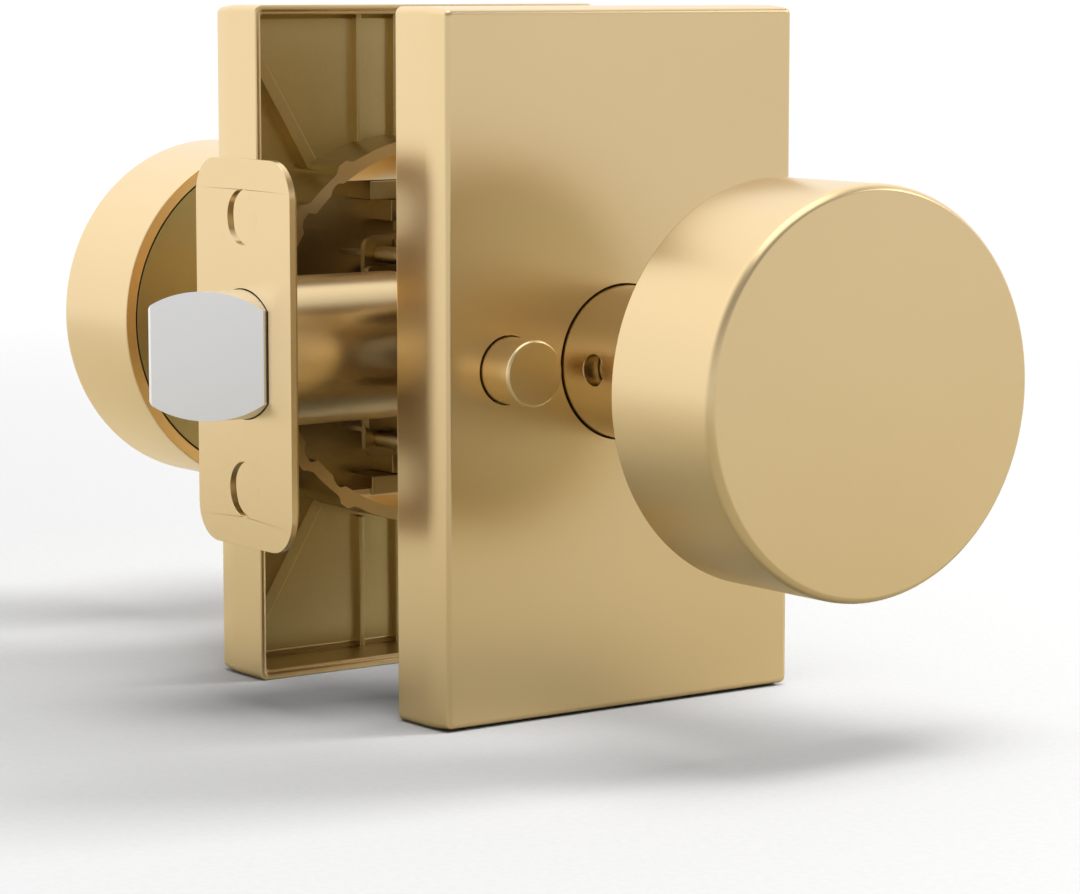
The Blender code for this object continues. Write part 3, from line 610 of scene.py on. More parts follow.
def level_normals(mesh):
    """Corner normals led by the largest flat patches around each vertex, so that flats stay flat."""
    rows = flat_patches(mesh)
    around = [[] for _ in mesh.vertices]
    for polygon in mesh.polygons:
        for vertex in polygon.vertices:
            around[vertex].append(polygon.index)
    normals = [None] * len(mesh.loops)
    for polygon in mesh.polygons:
        own = rows[polygon.index][0]
        for loop in polygon.loop_indices:
            total = Vector((0, 0, 0))
            for index in around[mesh.loops[loop].vertex_index]:
                normal, weight = rows[index]
                if normal.dot(own) > NORMAL_FAN:
                    total += normal * weight
            normals[loop] = total.normalized() if total.length else own
    mesh.normals_split_custom_set(normals)


def stand_for(obj, *nodes):
    """obj rides on the body of these CAD nodes and is shown in their place."""
    merge_flats(obj.data)
    level_normals(obj.data)
    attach(obj, BODY_OF[nodes[0]])
    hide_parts(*nodes)
    return obj


# ---- roses

RIM = abs(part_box("exterior_rose")[0].y)
ROSE_HALF = Vector(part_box("exterior_rose")[1])
ROSE_DEPTH = ROSE_HALF.y - RIM
ROSE_FLOOR_DEPTH = ROSE_DEPTH - 1.5 * MM
ROSE_ROUND = 0.85 * MM
SIDE_LEAN = 0.4 * MM
SIDE_FADE = 5.0 * MM
CORNER_ROUND = 1.1 * MM
RING_IN = 28.6 * MM
RING_OUT = 30.5 * MM
RING_RISE = 0.8 * MM
LAND_Z = 24.8 * MM
# Faces deeper than this behind the rim, and this far inside the edge, take the darker cast finish that
# is partly painted shade for the cavity.
CAST_SHADE_DEPTH = 4.0 * MM
CAST_SHADE_INSET = 0.9 * MM
FACE_SKIN = 0.6 * MM
LAND_DEPTH = 0.9 * MM
LAND_TILT = radians(-38)
RIB_PITCH = 7 * MM
NECK_HOLE_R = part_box("interior_neck")[1].x + 0.24 * MM
BUTTON_AXIS = (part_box("privacy_button")[0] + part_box("privacy_button")[1]) / 2
BUTTON_HOLE_R = 5.06 * MM
RELEASE_HOLE_R = 1.5 * MM


def side_place(side, x=0.0, z=0.0):
    """Local Z is the outward direction of a side, counted from the door's face."""
    return along("Y", (x, side * RIM, z), side)


def side_y(side, low, high):
    return tuple(sorted((side * (RIM + low), side * (RIM + high))))


def depths(node):
    """The lowest and highest distance of a node's box from the door's face."""
    return sorted(abs(c.y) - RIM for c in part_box(node))


def bore_place(side, depth, sign):
    """Local Z runs along X from a neck's axis, at a depth from the door's face."""
    return along("X", (0, side * (RIM + depth), 0), sign)


def rose_wall():
    """(inset, depth) around the wall: front edge, rim with its stepped lip, and floor."""
    front = [(SIDE_LEAN + ROSE_ROUND - x, ROSE_DEPTH - ROSE_ROUND + y)
             for x, y in arc((0, 0), ROSE_ROUND, 90, 15, 5)]
    fade = [(SIDE_LEAN * (1 - t) ** 2, ROSE_DEPTH - ROSE_ROUND - SIDE_FADE * t)
            for t in (0.1, 0.25, 0.4, 0.55, 0.7, 0.85, 1.0)]
    inner = [(0.92, 0.0), (0.92, 0.8), (1.5, 0.8), (1.6, 10.0), (2.3, 10.8)]
    lip = fillet([(0.0, 1.5)] + [(0.0, 0.0)] + inner + [(4.0, 10.8)], 0.35, closed=False)
    return front + fade + [(x * MM, y * MM) for x, y in lip[1:-1]]


def wall_loop(inset, depth, side):
    """One rounded rectangle of the rose's wall, in the plane of that depth."""
    corner = max(CORNER_ROUND - inset * 0.5, 0.25 * MM)
    width = 2 * (ROSE_HALF.x - inset)
    height = 2 * (ROSE_HALF.z - inset)
    y = side * (RIM + depth)
    return [(x, y, z) for x, z in rounded_rectangle((0, 0), width, height, corner, 5)]


def make_rose_shell(label, side):
    bm = bmesh.new()
    rings = [[bm.verts.new(p) for p in wall_loop(inset, depth, side)] for inset, depth in rose_wall()]
    for near, far in zip(rings, rings[1:]):
        for i in range(len(near)):
            k = (i + 1) % len(near)
            bm.faces.new((near[i], near[k], far[k], far[i]))
    bm.faces.new(rings[0])
    bm.faces.new(rings[-1])
    return mesh_object(f"{label}_rose_shell", bm, "brass", 40)


def scallop(angle, centre, width, height):
    """A smooth bump with steep sides, in degrees."""
    share = max(0.0, 1 - abs(angle - centre) / width)
    return height * min(1.0, share * 3)


def ring_outline(radius, bumps, steps=240):
    points = []
    for i in range(steps):
        angle = 360 * i / steps
        fold = min(angle % 180, 180 - angle % 180)
        reach = radius + sum(scallop(fold, *bump_shape) for bump_shape in bumps)
        points.append((reach * cos(radians(angle)), RING_RISE + reach * sin(radians(angle))))
    return points


OUTER_BUMPS = ((38.5, 4.0, 1.1 * MM), (58.5, 3.2, 0.9 * MM), (20.0, 3.0, 0.7 * MM))
INNER_BUMPS = ((38.5, 3.2, 1.2 * MM), (53.0, 2.6, 0.7 * MM), (20.0, 2.4, 0.8 * MM))


def make_rose_casting(label, side):
    """Scalloped ring, sloping lands, ribs and corner braces, as solids rising from the floor."""
    floor = ROSE_FLOOR_DEPTH + 0.6 * MM
    loops = [ring_outline(RING_OUT, OUTER_BUMPS), ring_outline(RING_IN, INNER_BUMPS)]
    ring_y = side_y(side, 0.15 * MM, floor)
    parts = [prism(f"{label}_ring", "cast_and_shade", loops, *ring_y, "Y", 0.2 * MM, 2)]
    parts += [make_land(label, side, up, floor) for up in (-1, 1)]
    rib_y = side_y(side, ROSE_FLOOR_DEPTH - 1.2 * MM, floor)
    for up in (-1, 1):
        for column in (-1, 0, 1):
            x = column * RIB_PITCH
            z = (up * (RING_IN + 0.8 * MM), up * (ROSE_HALF.z - 1.2 * MM))
            parts.append(block(f"{label}_rib", "cast_and_shade", (x - 0.5 * MM, x + 0.5 * MM), rib_y, z,
                               0.2 * MM, 2))
    corner = (ROSE_HALF.x - 1.4 * MM, ROSE_HALF.z - 1.4 * MM)
    brace_y = side_y(side, ROSE_FLOOR_DEPTH - 2.2 * MM, floor)
    for sx in (-1, 1):
        for sz in (-1, 1):
            turn = Matrix.Rotation(atan2(sx * corner[0], sz * corner[1]), 4, "Y")
            parts.append(block(f"{label}_brace", "cast_and_shade", (-1.05 * MM, 1.05 * MM), brace_y,
                               (RING_IN + 0.8 * MM, hypot(*corner)), 0.18 * MM, 2, turn))
    return parts


def make_land(label, side, up, floor):
    """Solid segment between the ring and a straight edge, its face sloping back to the ring."""
    reach = RING_IN + 0.9 * MM
    half = degrees(atan2(LAND_Z - up * RING_RISE, sqrt(reach ** 2 - (LAND_Z - RING_RISE) ** 2)))
    points = arc((0, RING_RISE), reach, up * half, up * (180 - half), 40)
    land = prism(f"{label}_land", "cast_and_shade", [points], *side_y(side, LAND_DEPTH, floor), "Y", 0.0)
    slope = block(f"{label}_slope", None, (-40 * MM, 40 * MM), side_y(side, -20 * MM, LAND_DEPTH),
                  (0, up * 30 * MM), 0)
    face = side * (RIM + LAND_DEPTH)
    tilt = Matrix.Rotation(LAND_TILT * side * up, 4, "X")
    slope.data.transform(Matrix.Translation((0, face, up * LAND_Z)) @ tilt
                         @ Matrix.Translation((0, -face, 0)))
    return soften(cut(land, slope), 0.15 * MM, 2)


def hole_cutter(radius, side, x, edge=0.12 * MM):
    """Cuts a round hole through a rose's face and rounds the hole's outer edge."""
    top = ROSE_DEPTH
    flare = [(radius + edge - edge * cos(a), top - edge + edge * sin(a))
             for a in (radians(d) for d in range(0, 91, 18))]
    profile = [(0, top + 1 * MM), (radius + edge, top + 1 * MM), *reversed(flare),
               (radius, ROSE_FLOOR_DEPTH - 3 * MM), (0, ROSE_FLOOR_DEPTH - 3 * MM)]
    return lathe("hole", None, profile, side_place(side, x=x), 0, closed=False, sides=96)


def make_rose(label, side):
    rose = make_rose_shell(label, side)
    rose.data.materials.append(FINISH["cast_and_shade"])
    join(rose, *make_rose_casting(label, side))
    cut(rose, hole_cutter(NECK_HOLE_R, side, 0))
    small_r = BUTTON_HOLE_R if side < 0 else RELEASE_HOLE_R
    cut(rose, hole_cutter(small_r, side, BUTTON_AXIS.x))
    paint_inside(rose)
    rose.name = f"{label}_rose_plate"
    stand_for(rose, f"{label}_rose")


def paint_inside(rose):
    """Faces deep behind the rim take the darker cast finish, partly unpolished casting and partly
    painted shade for the cavity; the satin finish covers the rest.
    """
    mesh = rose.data
    mesh.materials.clear()
    mesh.materials.append(FINISH["brass"])
    mesh.materials.append(FINISH["cast_and_shade"])
    for face in mesh.polygons:
        x, y, z = face.center
        inside = abs(x) < ROSE_HALF.x - CAST_SHADE_INSET and abs(z) < ROSE_HALF.z - CAST_SHADE_INSET
        behind_face = abs(y) < RIM + ROSE_DEPTH - FACE_SKIN
        deep = abs(y) > RIM + CAST_SHADE_DEPTH
        face.material_index = 1 if inside and behind_face and deep else 0


# ---- knobs, necks and spindle

SOCKET_HALF = 3.8 * MM
NUT_BORE_R = 7.3 * MM
GROOVE_PLAY = 0.2 * MM


def make_knob(label, side):
    low, high = depths(f"{label}_knob_cup")
    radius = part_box(f"{label}_knob_cup")[1].x
    plate_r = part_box(f"{label}_knob_back_plate")[1].x
    inner_r = plate_r + 0.22 * MM
    edge = 1.7 * MM
    front = arc((radius - edge, high - edge), edge, 90, 0, 8)
    back = arc((radius - 0.4 * MM, low + 0.4 * MM), 0.4 * MM, 0, -90, 3)
    lip = arc((inner_r + 0.2 * MM, low + 0.2 * MM), 0.2 * MM, 270, 180, 2)
    profile = [(0, high), *front, *back, *lip, (inner_r, high - 2.2 * MM), (0, high - 2.2 * MM)]
    cup = lathe(f"{label}_knob_shell", "brass", profile, side_place(side), 0, False, 192)
    stand_for(cup, f"{label}_knob_cup")
    make_back_plate(label, side, plate_r, low)
    make_nut(label)


def make_back_plate(label, side, plate_r, low):
    high = low + 2 * MM
    profile = tube(plate_r, NUT_BORE_R, low, high)
    # The rear disc takes the brass that is darkened with painted shade for the dark gap between knob
    # and rose.
    plate = lathe(f"{label}_knob_rear_disc", "painted_shade", profile, side_place(side), 0.18 * MM, sides=160)
    stand_for(plate, f"{label}_knob_back_plate")


def make_nut(label):
    box_low, box_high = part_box(f"{label}_neck_nut")
    radius = box_high.z
    loops = [arc((0, 0), radius, 30, 330, 5), circle((0, 0), NUT_BORE_R, 48)]
    nut = prism(f"{label}_hex_nut", "steel", loops, box_low.y, box_high.y, "Y", 0.25 * MM)
    stand_for(nut, f"{label}_neck_nut")


def make_neck(label, side):
    low, high = depths(f"{label}_neck")
    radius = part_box(f"{label}_neck")[1].x
    knob_back = min(abs(c.y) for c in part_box(f"{label}_knob_cup")) - RIM
    stud_r = 7 * MM
    tail_r = 8.8 * MM
    groove_r = tail_r - 0.9 * MM
    shoulder = knob_back - 0.1 * MM
    tail_top = 5.7 * MM
    clip_low, clip_high = depths(f"{label}_circlip")
    groove_low = clip_low - GROOVE_PLAY
    groove_high = clip_high + GROOVE_PLAY
    profile = [(0, high), (stud_r, high), (stud_r, shoulder), (radius, shoulder), (radius, tail_top),
               (tail_r, tail_top), (tail_r, groove_high), (groove_r, groove_high),
               (groove_r, groove_low), (tail_r, groove_low), (tail_r, low), (0, low)]
    neck = lathe(f"{label}_neck_shaft", "brass", profile, side_place(side), 0.3 * MM, False, 128)
    across = (-SOCKET_HALF, SOCKET_HALF)
    socket = block("socket", None, across, side_y(side, low - 1 * MM, 38 * MM), across, 0)
    cut(neck, socket)
    depth = 19.7 * MM
    if side < 0:
        cut(neck, flared_bore(-radius, depth, side, 2.35 * MM))
        make_set_screw(depth, side)
    else:
        cut(neck, *(flared_bore(sign * radius, depth, side, 1.6 * MM) for sign in (-1, 1)))
        make_cross_pin(depth, side)
    stand_for(neck, f"{label}_neck")


def flared_bore(start_x, depth, side, radius):
    """A hole from the neck's surface to its axis, with a rounded mouth."""
    reach = abs(start_x)
    edge = 0.06 * MM
    mouth = radius + 3 * edge
    profile = [(0, reach + 1 * MM), (mouth, reach + 1 * MM), (mouth, reach + 0.05 * MM),
               (radius + edge, reach - 0.15 * MM), (radius, reach - 2 * edge), (radius, 2 * MM),
               (0, 2 * MM)]
    sign = 1 if start_x > 0 else -1
    return lathe("bore", None, profile, bore_place(side, depth, sign), 0, False, 48)


def make_set_screw(depth, side):
    low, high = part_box("interior_set_screw")
    profile = rod(2.2 * MM, -high.x, -low.x)
    # The set screw takes the darker cast finish, whose colour is partly painted shade.
    screw = lathe("grub_screw", "cast_and_shade", profile, bore_place(side, depth, -1), 0.3 * MM, False, 48)
    hexagon = arc((side * (RIM + depth), 0), 1.35 * MM, 0, 300, 5)
    key = prism("key", None, [hexagon], low.x - 1 * MM, low.x + 2 * MM, "X", 0)
    stand_for(cut(screw, key), "interior_set_screw")


def make_cross_pin(depth, side):
    low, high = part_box("exterior_cross_pin")
    profile = rod(high.z, low.x, high.x)
    pin = lathe("neck_roll_pin", "steel", profile, bore_place(side, depth, 1), 0.35 * MM, False, 40)
    stand_for(pin, "exterior_cross_pin")


def make_spindle():
    low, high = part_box("spindle")
    bar = box_block("spindle_bar", "steel", "spindle", 0.5 * MM)
    reach = high.y - 2 * MM
    grooves = [block("groove", None, (low.x - 1 * MM, high.x + 1 * MM), (y - 0.25 * MM, y + 0.25 * MM),
                     (up * (high.z - 0.3 * MM), up * (high.z + 1 * MM)), 0)
               for y in (-reach + 4 * MM, reach - 4 * MM) for up in (-1, 1)]
    stand_for(cut(bar, *grooves), "spindle")


# ---- mechanism inside the roses

def make_chassis(label, side):
    """Round plate, flat above and below, with raised flanges, bosses and pins."""
    node = f"{label}_chassis_plate"
    low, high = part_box(node)
    radius = high.x
    flat = high.z
    outline = [(x, z) for z, x in two_flats((0, 0), radius, flat, 36)]
    bolt_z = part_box("upper_through_bolt")[1].z - 3.6 * MM
    centre_r = 12.9 * MM
    bolt_r = 2.3 * MM
    button_r = 6.7 * MM if side < 0 else 2 * MM
    loops = [outline, circle((0, 0), centre_r, 72)]
    loops += [circle((0, up * bolt_z), bolt_r, 32) for up in (-1, 1)]
    loops.append(circle((BUTTON_AXIS.x, 0), button_r, 40))
    plate = prism(f"{label}_mounting_plate", "plate", loops, low.y, high.y, "Y", 0)
    near = sorted(abs(c.y) - RIM for c in (low, high))[0]
    tabs = []
    for up in (-1, 1):
        step = flat - 3.0 * MM
        y = side_y(side, near - 5.9 * MM, near + 0.8 * MM)
        tabs.append(block("flange", "plate", (-11 * MM, 11 * MM), y, (up * step, up * flat), 0.2 * MM))
        for sign in (-1, 1):
            x = (sign * 3.6 * MM, sign * 6.8 * MM)
            y = side_y(side, near - 5.4 * MM, near + 0.8 * MM)
            tabs.append(block("boss", "plate", x, y, (up * 18.2 * MM, up * step), 0.2 * MM))
            x = (sign * 5.0 * MM, sign * 5.7 * MM)
            y = side_y(side, near - 4.8 * MM, near - 4.1 * MM)
            tabs.append(block("pin", "plate", x, y, (up * 16.4 * MM, up * 18.6 * MM), 0.15 * MM))
    stand_for(join(plate, *tabs), node)


def make_bush(label, side):
    low, high = depths(f"{label}_neck_bush")
    flange_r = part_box(f"{label}_neck_bush")[1].x
    flange_low = high - 1.3 * MM
    profile = [(flange_r, high), (flange_r, flange_low), (12.6 * MM, flange_low), (12.6 * MM, low),
               (11.6 * MM, low), (11.6 * MM, high)]
    bush = lathe(f"{label}_bearing_ring", "nylon", profile, side_place(side), 0.2 * MM)
    stand_for(bush, f"{label}_neck_bush")


def make_spring_cassette(label, side):
    place = side_place(side)
    low, high = depths(f"{label}_spring_housing")
    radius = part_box(f"{label}_spring_housing")[1].x
    wall = 0.8 * MM
    mouth = 9.3 * MM
    inner = radius - wall
    profile = [(radius, high), (radius, low), (mouth, low), (mouth, low + wall), (inner, low + wall),
               (inner, high)]
    housing = lathe(f"{label}_spring_cup", "plate", profile, place, 0.3 * MM)
    windows = [block("window", None, (9 * MM, 16 * MM), (-2.2 * MM, 2.2 * MM), (3.4 * MM, 6.6 * MM),
                     0.6 * MM, turn=place @ Matrix.Rotation(radians(a), 4, "Z"))
               for a in (45, 135, 225, 315)]
    stand_for(soften(cut(housing, *windows), 0.12 * MM), f"{label}_spring_housing")
    make_return_spring(label, place)
    make_cam(label, side, place)
    make_circlip(label)


def make_return_spring(label, place):
    low, high = depths(f"{label}_return_spring")
    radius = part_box(f"{label}_return_spring")[1].x
    wire = 1.1 * MM
    spring = coil(f"{label}_torsion_spring", "wire", radius - wire / 2, wire, 2.75, low, high, place,
                  0.3)
    stand_for(spring, f"{label}_return_spring")


def make_cam(label, side, place):
    low, high = depths(f"{label}_cam")
    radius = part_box(f"{label}_cam")[1].z
    bore = 9.1 * MM
    profile = tube(radius, bore, high - 2.3 * MM, high)
    cam = lathe(f"{label}_drive_cam", "plate", profile, place, 0.2 * MM)
    dog = block("dog", "plate", (10 * MM, 12.2 * MM), side_y(side, low, high - 1.2 * MM),
                (-1.5 * MM, 1.5 * MM), 0.2 * MM)
    stand_for(join(cam, dog), f"{label}_cam")


def make_circlip(label):
    low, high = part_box(f"{label}_circlip")
    outer = high.z
    inner = 8.2 * MM
    gap = degrees(atan2(3 * MM, outer))
    wide = gap * 1.2
    loop = arc((0, 0), outer, 180 + gap, 540 - gap, 60) + arc((0, 0), inner, 540 - wide, 180 + wide, 60)
    ears = [circle((-9.0 * MM, s * 4.0 * MM), 0.45 * MM, 16) for s in (-1, 1)]
    clip = prism(f"{label}_retaining_ring", "wire", [loop, *ears], low.y, high.y, "Y", 0.1 * MM)
    stand_for(clip, f"{label}_circlip")


def make_through_bolts():
    for label in ("upper", "lower"):
        low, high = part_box(f"{label}_through_bolt")
        z = (low.z + high.z) / 2
        head_r = high.x
        tip = RIM + high.y
        top = -low.y - RIM
        head = top - 2.1 * MM
        thread = thread_profile(head - 4 * MM, -tip + 0.6 * MM)
        profile = [(0, top), (head_r - 0.6 * MM, top), (head_r, top - 0.6 * MM), (head_r, head),
                   (1.9 * MM, head), *thread, (1.3 * MM, -tip), (0, -tip)]
        bolt = lathe(f"{label}_clamp_screw", "steel", profile, side_place(-1, z=z), 0, False, 40)
        drive = side_y(-1, top - 1.1 * MM, top + 1 * MM)
        slots = [block("drive", None, (-2.2 * MM, 2.2 * MM), drive, (z - 0.5 * MM, z + 0.5 * MM), 0),
                 block("drive", None, (-0.5 * MM, 0.5 * MM), drive, (z - 2.2 * MM, z + 2.2 * MM), 0)]
        stand_for(cut(bolt, *slots), f"{label}_through_bolt")
        make_post(label, z)


def thread_profile(start, end, pitch=0.7 * MM):
    """Crests and roots of a machine thread, from the head to the tip."""
    count = int((start - end) / pitch)
    points = []
    for i in range(count):
        height = start - pitch * i
        points += [(1.9 * MM, height), (1.9 * MM, height - 0.12 * MM), (1.62 * MM, height - 0.42 * MM)]
    return points


def make_post(label, z):
    low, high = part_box(f"{label}_threaded_post")
    seat = low.y - RIM
    collar = 6.1 * MM
    top = high.y - RIM
    rivet_r = 2.0 * MM
    radius = high.x
    bore_r = 2.2 * MM
    profile = [(0, top), (rivet_r + 0.1 * MM, top), (rivet_r + 0.1 * MM, collar), (radius, collar),
               (radius, seat), (bore_r, seat), (bore_r, collar - 2 * MM), (0, collar - 2 * MM)]
    post = lathe(f"{label}_clamp_post", "plate", profile, side_place(1, z=z), 0.25 * MM, False, 48)
    stand_for(post, f"{label}_threaded_post")


# ---- push button

def make_button():
    x = BUTTON_AXIS.x
    place = side_place(-1, x=x)
    low, high = depths("privacy_button")
    radius = 4.85 * MM
    edge = 0.55 * MM
    front = arc((radius - edge, high - edge), edge, 90, 0, 6)
    foot_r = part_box("privacy_button")[1].z
    profile = [(0, high), *front, (radius, low + 1 * MM), (foot_r, low + 1 * MM), (foot_r, low),
               (1.8 * MM, low), (1.8 * MM, low + 3.6 * MM), (0, low + 3.6 * MM)]
    stand_for(lathe("push_button", "brass", profile, place, 0, False, 96), "privacy_button")
    make_button_stem(x)
    make_button_guide(place)
    make_button_spring(place)


def make_button_stem(x):
    low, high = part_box("button_stem")
    radius = high.z
    tip = -high.y - RIM
    top = -low.y - RIM
    profile = [(0, top), (radius, top), (radius, tip + 0.5 * MM), (radius - 0.5 * MM, tip), (0, tip)]
    stem = lathe("lock_stem", "steel", profile, side_place(-1, x=x), 0.1 * MM, False, 40)
    stand_for(stem, "button_stem")


def make_button_guide(place):
    low, high = depths("button_guide")
    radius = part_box("button_guide")[1].z
    floor = low + 1 * MM
    profile = [(radius, high), (radius, low), (1.9 * MM, low), (1.9 * MM, floor), (5.8 * MM, floor),
               (5.8 * MM, high)]
    stand_for(lathe("button_sleeve", "nylon", profile, place, 0.15 * MM), "button_guide")


def make_button_spring(place):
    low, high = depths("button_spring")
    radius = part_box("button_spring")[1].z
    wire = 0.6 * MM
    spring = coil("button_return_spring", "wire", radius - wire / 2, wire, 5, low, high, place)
    stand_for(spring, "button_spring")


# ---- latch

LATCH_Z = (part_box("latch_tube")[0].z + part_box("latch_tube")[1].z) / 2
LATCH_AXIS = along("X", (0, 0, LATCH_Z))
FACE_ROUND = 5.4 * MM
BASE_ROUND = FACE_ROUND - 0.4 * MM
FACE_SCREW_Z = 20.05 * MM
SCREW_HOLE_R = 4.1 * MM
BASE_SCREW_HOLE_R = 5.6 * MM
BOLT_HOLE_R = 9.65 * MM
BOLT_HOLE_HALF = 7.0 * MM


def rounded_rectangle(centre, width, height, corner, steps=10):
    loop = []
    for quarter, (sx, sy) in enumerate(((1, 1), (-1, 1), (-1, -1), (1, -1))):
        middle = (centre[0] + sx * (width / 2 - corner), centre[1] + sy * (height / 2 - corner))
        loop += arc(middle, corner, 90 * quarter, 90 * quarter + 90, steps)
    return loop


def two_flats(centre, radius, flat, steps=28):
    corner = degrees(atan2(sqrt(radius ** 2 - flat ** 2), flat))
    upper = arc(centre, radius, corner, 180 - corner, steps)
    return upper + arc(centre, radius, 180 + corner, 360 - corner, steps)


def make_latch_plates():
    centre = (0, LATCH_Z)
    hole = two_flats(centre, BOLT_HOLE_R, BOLT_HOLE_HALF)
    rows = (("latch_faceplate", "faceplate", FACE_ROUND, SCREW_HOLE_R, "brass"),
            ("latch_base_plate", "faceplate_backing", BASE_ROUND, BASE_SCREW_HOLE_R, "plate"))
    for node, name, corner, screw_r, finish in rows:
        low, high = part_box(node)
        outline = rounded_rectangle(centre, high.y - low.y, high.z - low.z, corner)
        screws = [circle((0, LATCH_Z + up * FACE_SCREW_Z), screw_r, 64) for up in (-1, 1)]
        plate = prism(name, finish, [outline, hole, *screws], low.x, high.x, "X", 0.3 * MM, 3)
        stand_for(plate, node)


def make_tube():
    """Tube with a lengthwise seam and a notch for the button's stem."""
    low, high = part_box("latch_tube")
    radius = high.y
    wall = 1 * MM
    profile = tube(radius, radius - wall, low.x, high.x)
    barrel = lathe("latch_barrel", "brass", profile, LATCH_AXIS, 0.25 * MM, sides=128)
    notch = block("notch", None, (BUTTON_AXIS.x - 2 * MM, high.x + 1 * MM), (-radius - 1 * MM, -9 * MM),
                  (-1.9 * MM, 1.9 * MM), 0)
    seam = block("seam", None, (low.x - 1 * MM, high.x + 1 * MM), (-0.12 * MM, 0.12 * MM),
                 (LATCH_Z - radius - 1 * MM, LATCH_Z - radius + 0.35 * MM), 0)
    stand_for(cut(barrel, notch, seam), "latch_tube")


def make_bolt():
    low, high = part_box("latch_bolt")
    radius = (high.z - low.z) / 2
    flat = high.y
    outline = two_flats((0, LATCH_Z), radius, flat)
    head = prism("spring_bolt", "nickel", [outline], low.x, high.x, "X", 0)
    slope_end = Vector((-47.0 * MM, -flat))
    slope_tip = Vector((low.x, 6.0 * MM))
    ahead = (slope_tip - slope_end).normalized()
    near = slope_end - ahead * 4 * MM
    far = slope_end + ahead * 24 * MM
    wedge = [tuple(near), tuple(far), (far.x - 4 * MM, near.y - 4 * MM)]
    reach = radius + 1 * MM
    cut(head, prism("wedge", None, [wedge], LATCH_Z - reach, LATCH_Z + reach, "Z", 0))
    soften(head, 0.55 * MM, 4, 30)
    bore = lathe("bore", None, rod(5.7 * MM, high.x - 0.8 * MM, high.x + 1 * MM), LATCH_AXIS, 0,
                 False, 48)
    pin_low, pin_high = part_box("bolt_cross_pin")
    pin_axis = along("Y", ((pin_low.x + pin_high.x) / 2, 0, LATCH_Z))
    hole = lathe("hole", None, rod(1.35 * MM, -radius, radius), pin_axis, 0, False, 32)
    stand_for(cut(head, bore, hole), "latch_bolt")
    pin_r = (pin_high.x - pin_low.x) / 2
    profile = rod(pin_r, pin_low.y, pin_high.y)
    pin = lathe("bolt_pin", "steel", profile, pin_axis, 0.25 * MM, False, 32)
    stand_for(pin, "bolt_cross_pin")


def slot(left, right, height, half, steps=16):
    end = arc((right - half, height), half, -90, 90, steps)
    return end + arc((left + half, height), half, 90, 270, steps)


def make_retractor():
    travel = 12 * MM
    hub_half = 6.2 * MM
    pin_half = 1.5 * MM
    pin_x = (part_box("bolt_cross_pin")[0].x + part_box("bolt_cross_pin")[1].x) / 2
    for label in SIDES:
        low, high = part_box(f"retractor_{label}_arm")
        step_x = -19.7 * MM
        half = 5 * MM
        outline = [(low.x, LATCH_Z - half), (step_x, LATCH_Z - half), (step_x, low.z),
                   (high.x, low.z), (high.x, high.z), (step_x, high.z), (step_x, LATCH_Z + half),
                   (low.x, LATCH_Z + half)]
        loops = [fillet(outline, 0.8 * MM, steps=5), slot(-travel - hub_half, hub_half, 0, hub_half),
                 slot(pin_x - pin_half, pin_x + travel + pin_half, LATCH_Z, pin_half)]
        arm = prism(f"retractor_{label}_plate", "plate", loops, low.y, high.y, "Y", 0.15 * MM)
        stand_for(arm, f"retractor_{label}_arm")
    for label in ("upper", "lower"):
        node = f"retractor_{label}_bar"
        stand_for(box_block(f"retractor_{label}_rail", "plate", node, 0.4 * MM), node)


def make_hub():
    low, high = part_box("latch_hub")
    radius = high.x
    profile = rod(radius, low.y, high.y)
    hub = lathe("follower_hub", "steel", profile, along("Y"), 0.3 * MM, False, 64)
    fingers = []
    for up in (-1, 1):
        turn = Matrix.Rotation(radians(-30) if up > 0 else pi + radians(30), 4, "Y")
        fingers.append(block("finger", "steel", (-1.5 * MM, 1.5 * MM), (-3 * MM, 3 * MM),
                             (1 * MM, 13 * MM), 0.45 * MM, 3, turn))
    across = (-SOCKET_HALF, SOCKET_HALF)
    socket = block("socket", None, across, (low.y - 1 * MM, high.y + 1 * MM), across, 0)
    stand_for(cut(join(hub, *fingers), socket), "latch_hub")


def make_case():
    rivets = [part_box(f"latch_rivet_{i}") for i in (1, 2, 3, 4)]
    spots = [((a.x + b.x) / 2, (a.z + b.z) / 2) for a, b in rivets]
    for label, side in SIDES.items():
        node = f"latch_{label}_side_plate"
        low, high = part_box(node)
        left = low.x + 4.6 * MM
        body = rounded_rectangle(((left + high.x) / 2, 0), high.x - left, high.z - low.z, 2 * MM, 8)
        half = len(body) // 2
        tab = 1.6 * MM
        outline = body[:half] + [(left, LATCH_Z + tab), (low.x, LATCH_Z + tab), (low.x, LATCH_Z - tab),
                                 (left, LATCH_Z - tab)] + body[half:]
        holes = [circle((0, 0), 6.2 * MM, 64), *(circle(spot, 1.34 * MM, 24) for spot in spots)]
        holes += [rounded_rectangle((13.2 * MM, z), 5 * MM, 9 * MM, 1.4 * MM, 6)
                  for z in (-8 * MM, 8 * MM)]
        plate = prism(f"case_{label}_cheek", "plate", [outline, *holes], low.y, high.y, "Y", 0)
        feet = [block("foot", "plate", (left, left + 3 * MM), (side * 9.1 * MM, side * 15.6 * MM), z,
                      0.15 * MM) for z in ((-13.1 * MM, -12.3 * MM), (13.9 * MM, 14.7 * MM))]
        stand_for(soften(join(plate, *feet), 0.12 * MM), node)
    for i, (x, z) in enumerate(spots, 1):
        make_rivet(i, x, z, rivets[i - 1])
    make_spring_seat()


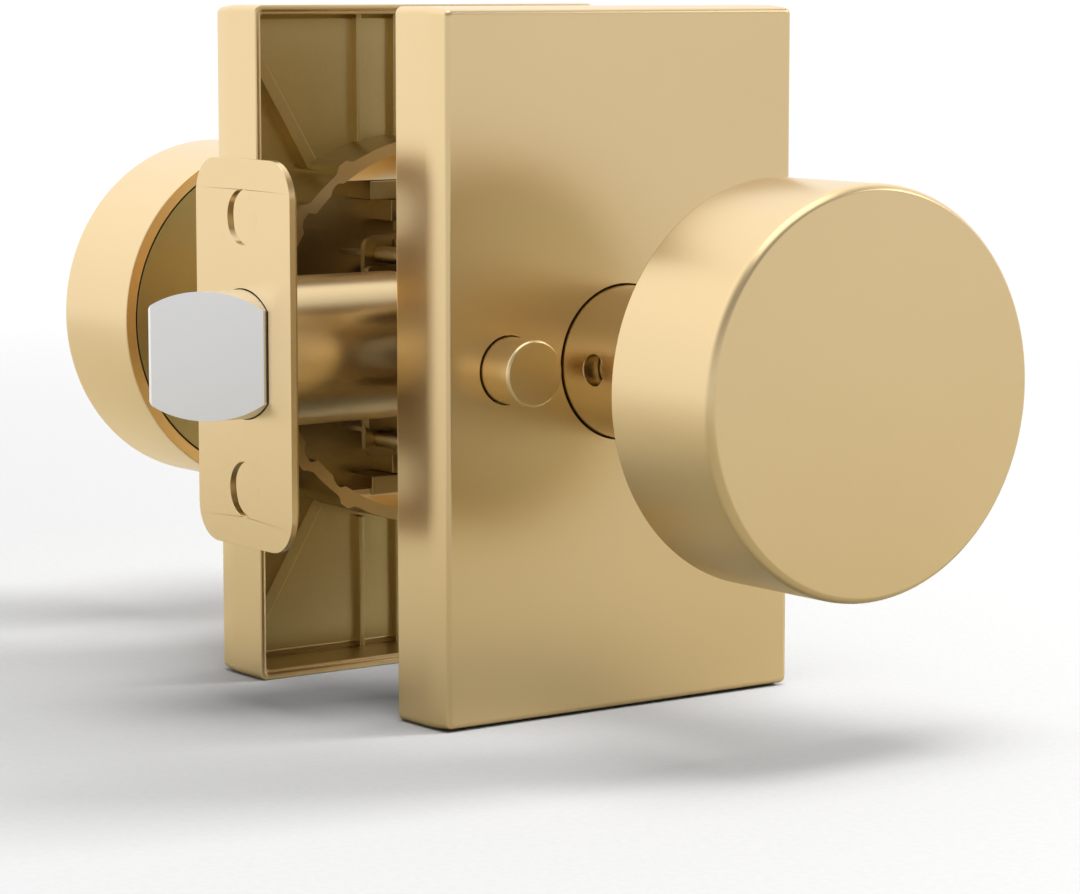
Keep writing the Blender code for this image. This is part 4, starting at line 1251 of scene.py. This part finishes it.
def make_rivet(number, x, z, corners):
    reach = corners[1].y
    head_r = (corners[1].x - corners[0].x) / 2
    head = 0.8 * MM
    neck = reach - head
    dome = [(head_r * cos(a), neck + head * sin(a)) for a in (radians(d) for d in range(90, 9, -16))]
    top = [(max(r, 0), h) for r, h in dome] + [(head_r, neck)]
    profile = [(0, reach), *top[1:], (1.3 * MM, neck), (1.3 * MM, -neck),
               *[(r, -h) for r, h in reversed(top[1:])], (0, -reach)]
    rivet = lathe(f"case_rivet_{number}", "plate", profile, along("Y", (x, 0, z)), 0, False, 32)
    stand_for(rivet, f"latch_rivet_{number}")


def make_spring_seat():
    low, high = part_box("latch_spring_seat")
    foot = 12.9 * MM
    narrow = 6.9 * MM
    quarter = [(narrow, foot), (high.y, foot), (high.y, high.z)]
    upper = quarter + [(-y, z) for y, z in reversed(quarter)]
    outline = fillet(upper + [(-y, -z) for y, z in upper], 0.5 * MM)
    seat = prism("spring_stop", "plate", [outline], low.x, high.x, "X", 0.12 * MM)
    stand_for(seat, "latch_spring_seat")


def make_latch_spring():
    low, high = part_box("latch_spring")
    spring = coil("bolt_spring", "wire", 5 * MM, 0.8 * MM, 9, low.x, high.x, LATCH_AXIS)
    stand_for(spring, "latch_spring")


# ---- everything

def main():
    make_camera()
    make_world()
    floor_only = make_floor()
    make_softbox("top_box", 0, 80, 1.6, (1.3, 1.3), 7)
    make_softbox("right_box", 63, 32, 1.7, (0.8, 0.6), 3)
    make_softbox("floor_top_box", 5, 80, 1.6, (0.9, 0.8), 43, floor_only)
    make_softbox("floor_right_box", 62, 30, 1.7, (0.6, 0.55), 66, floor_only)
    make_spindle()
    for label, side in SIDES.items():
        make_card(label, side)
        make_rose(label, side)
        make_knob(label, side)
        make_neck(label, side)
        make_chassis(label, side)
        make_bush(label, side)
        make_spring_cassette(label, side)
    make_through_bolts()
    make_button()
    make_latch_plates()
    make_tube()
    make_bolt()
    make_retractor()
    make_hub()
    make_case()
    make_latch_spring()
    bpy.context.scene.view_settings.view_transform = "Standard"
    bpy.context.scene.view_settings.look = "None"


main()
bpy.context.view_layer.update()
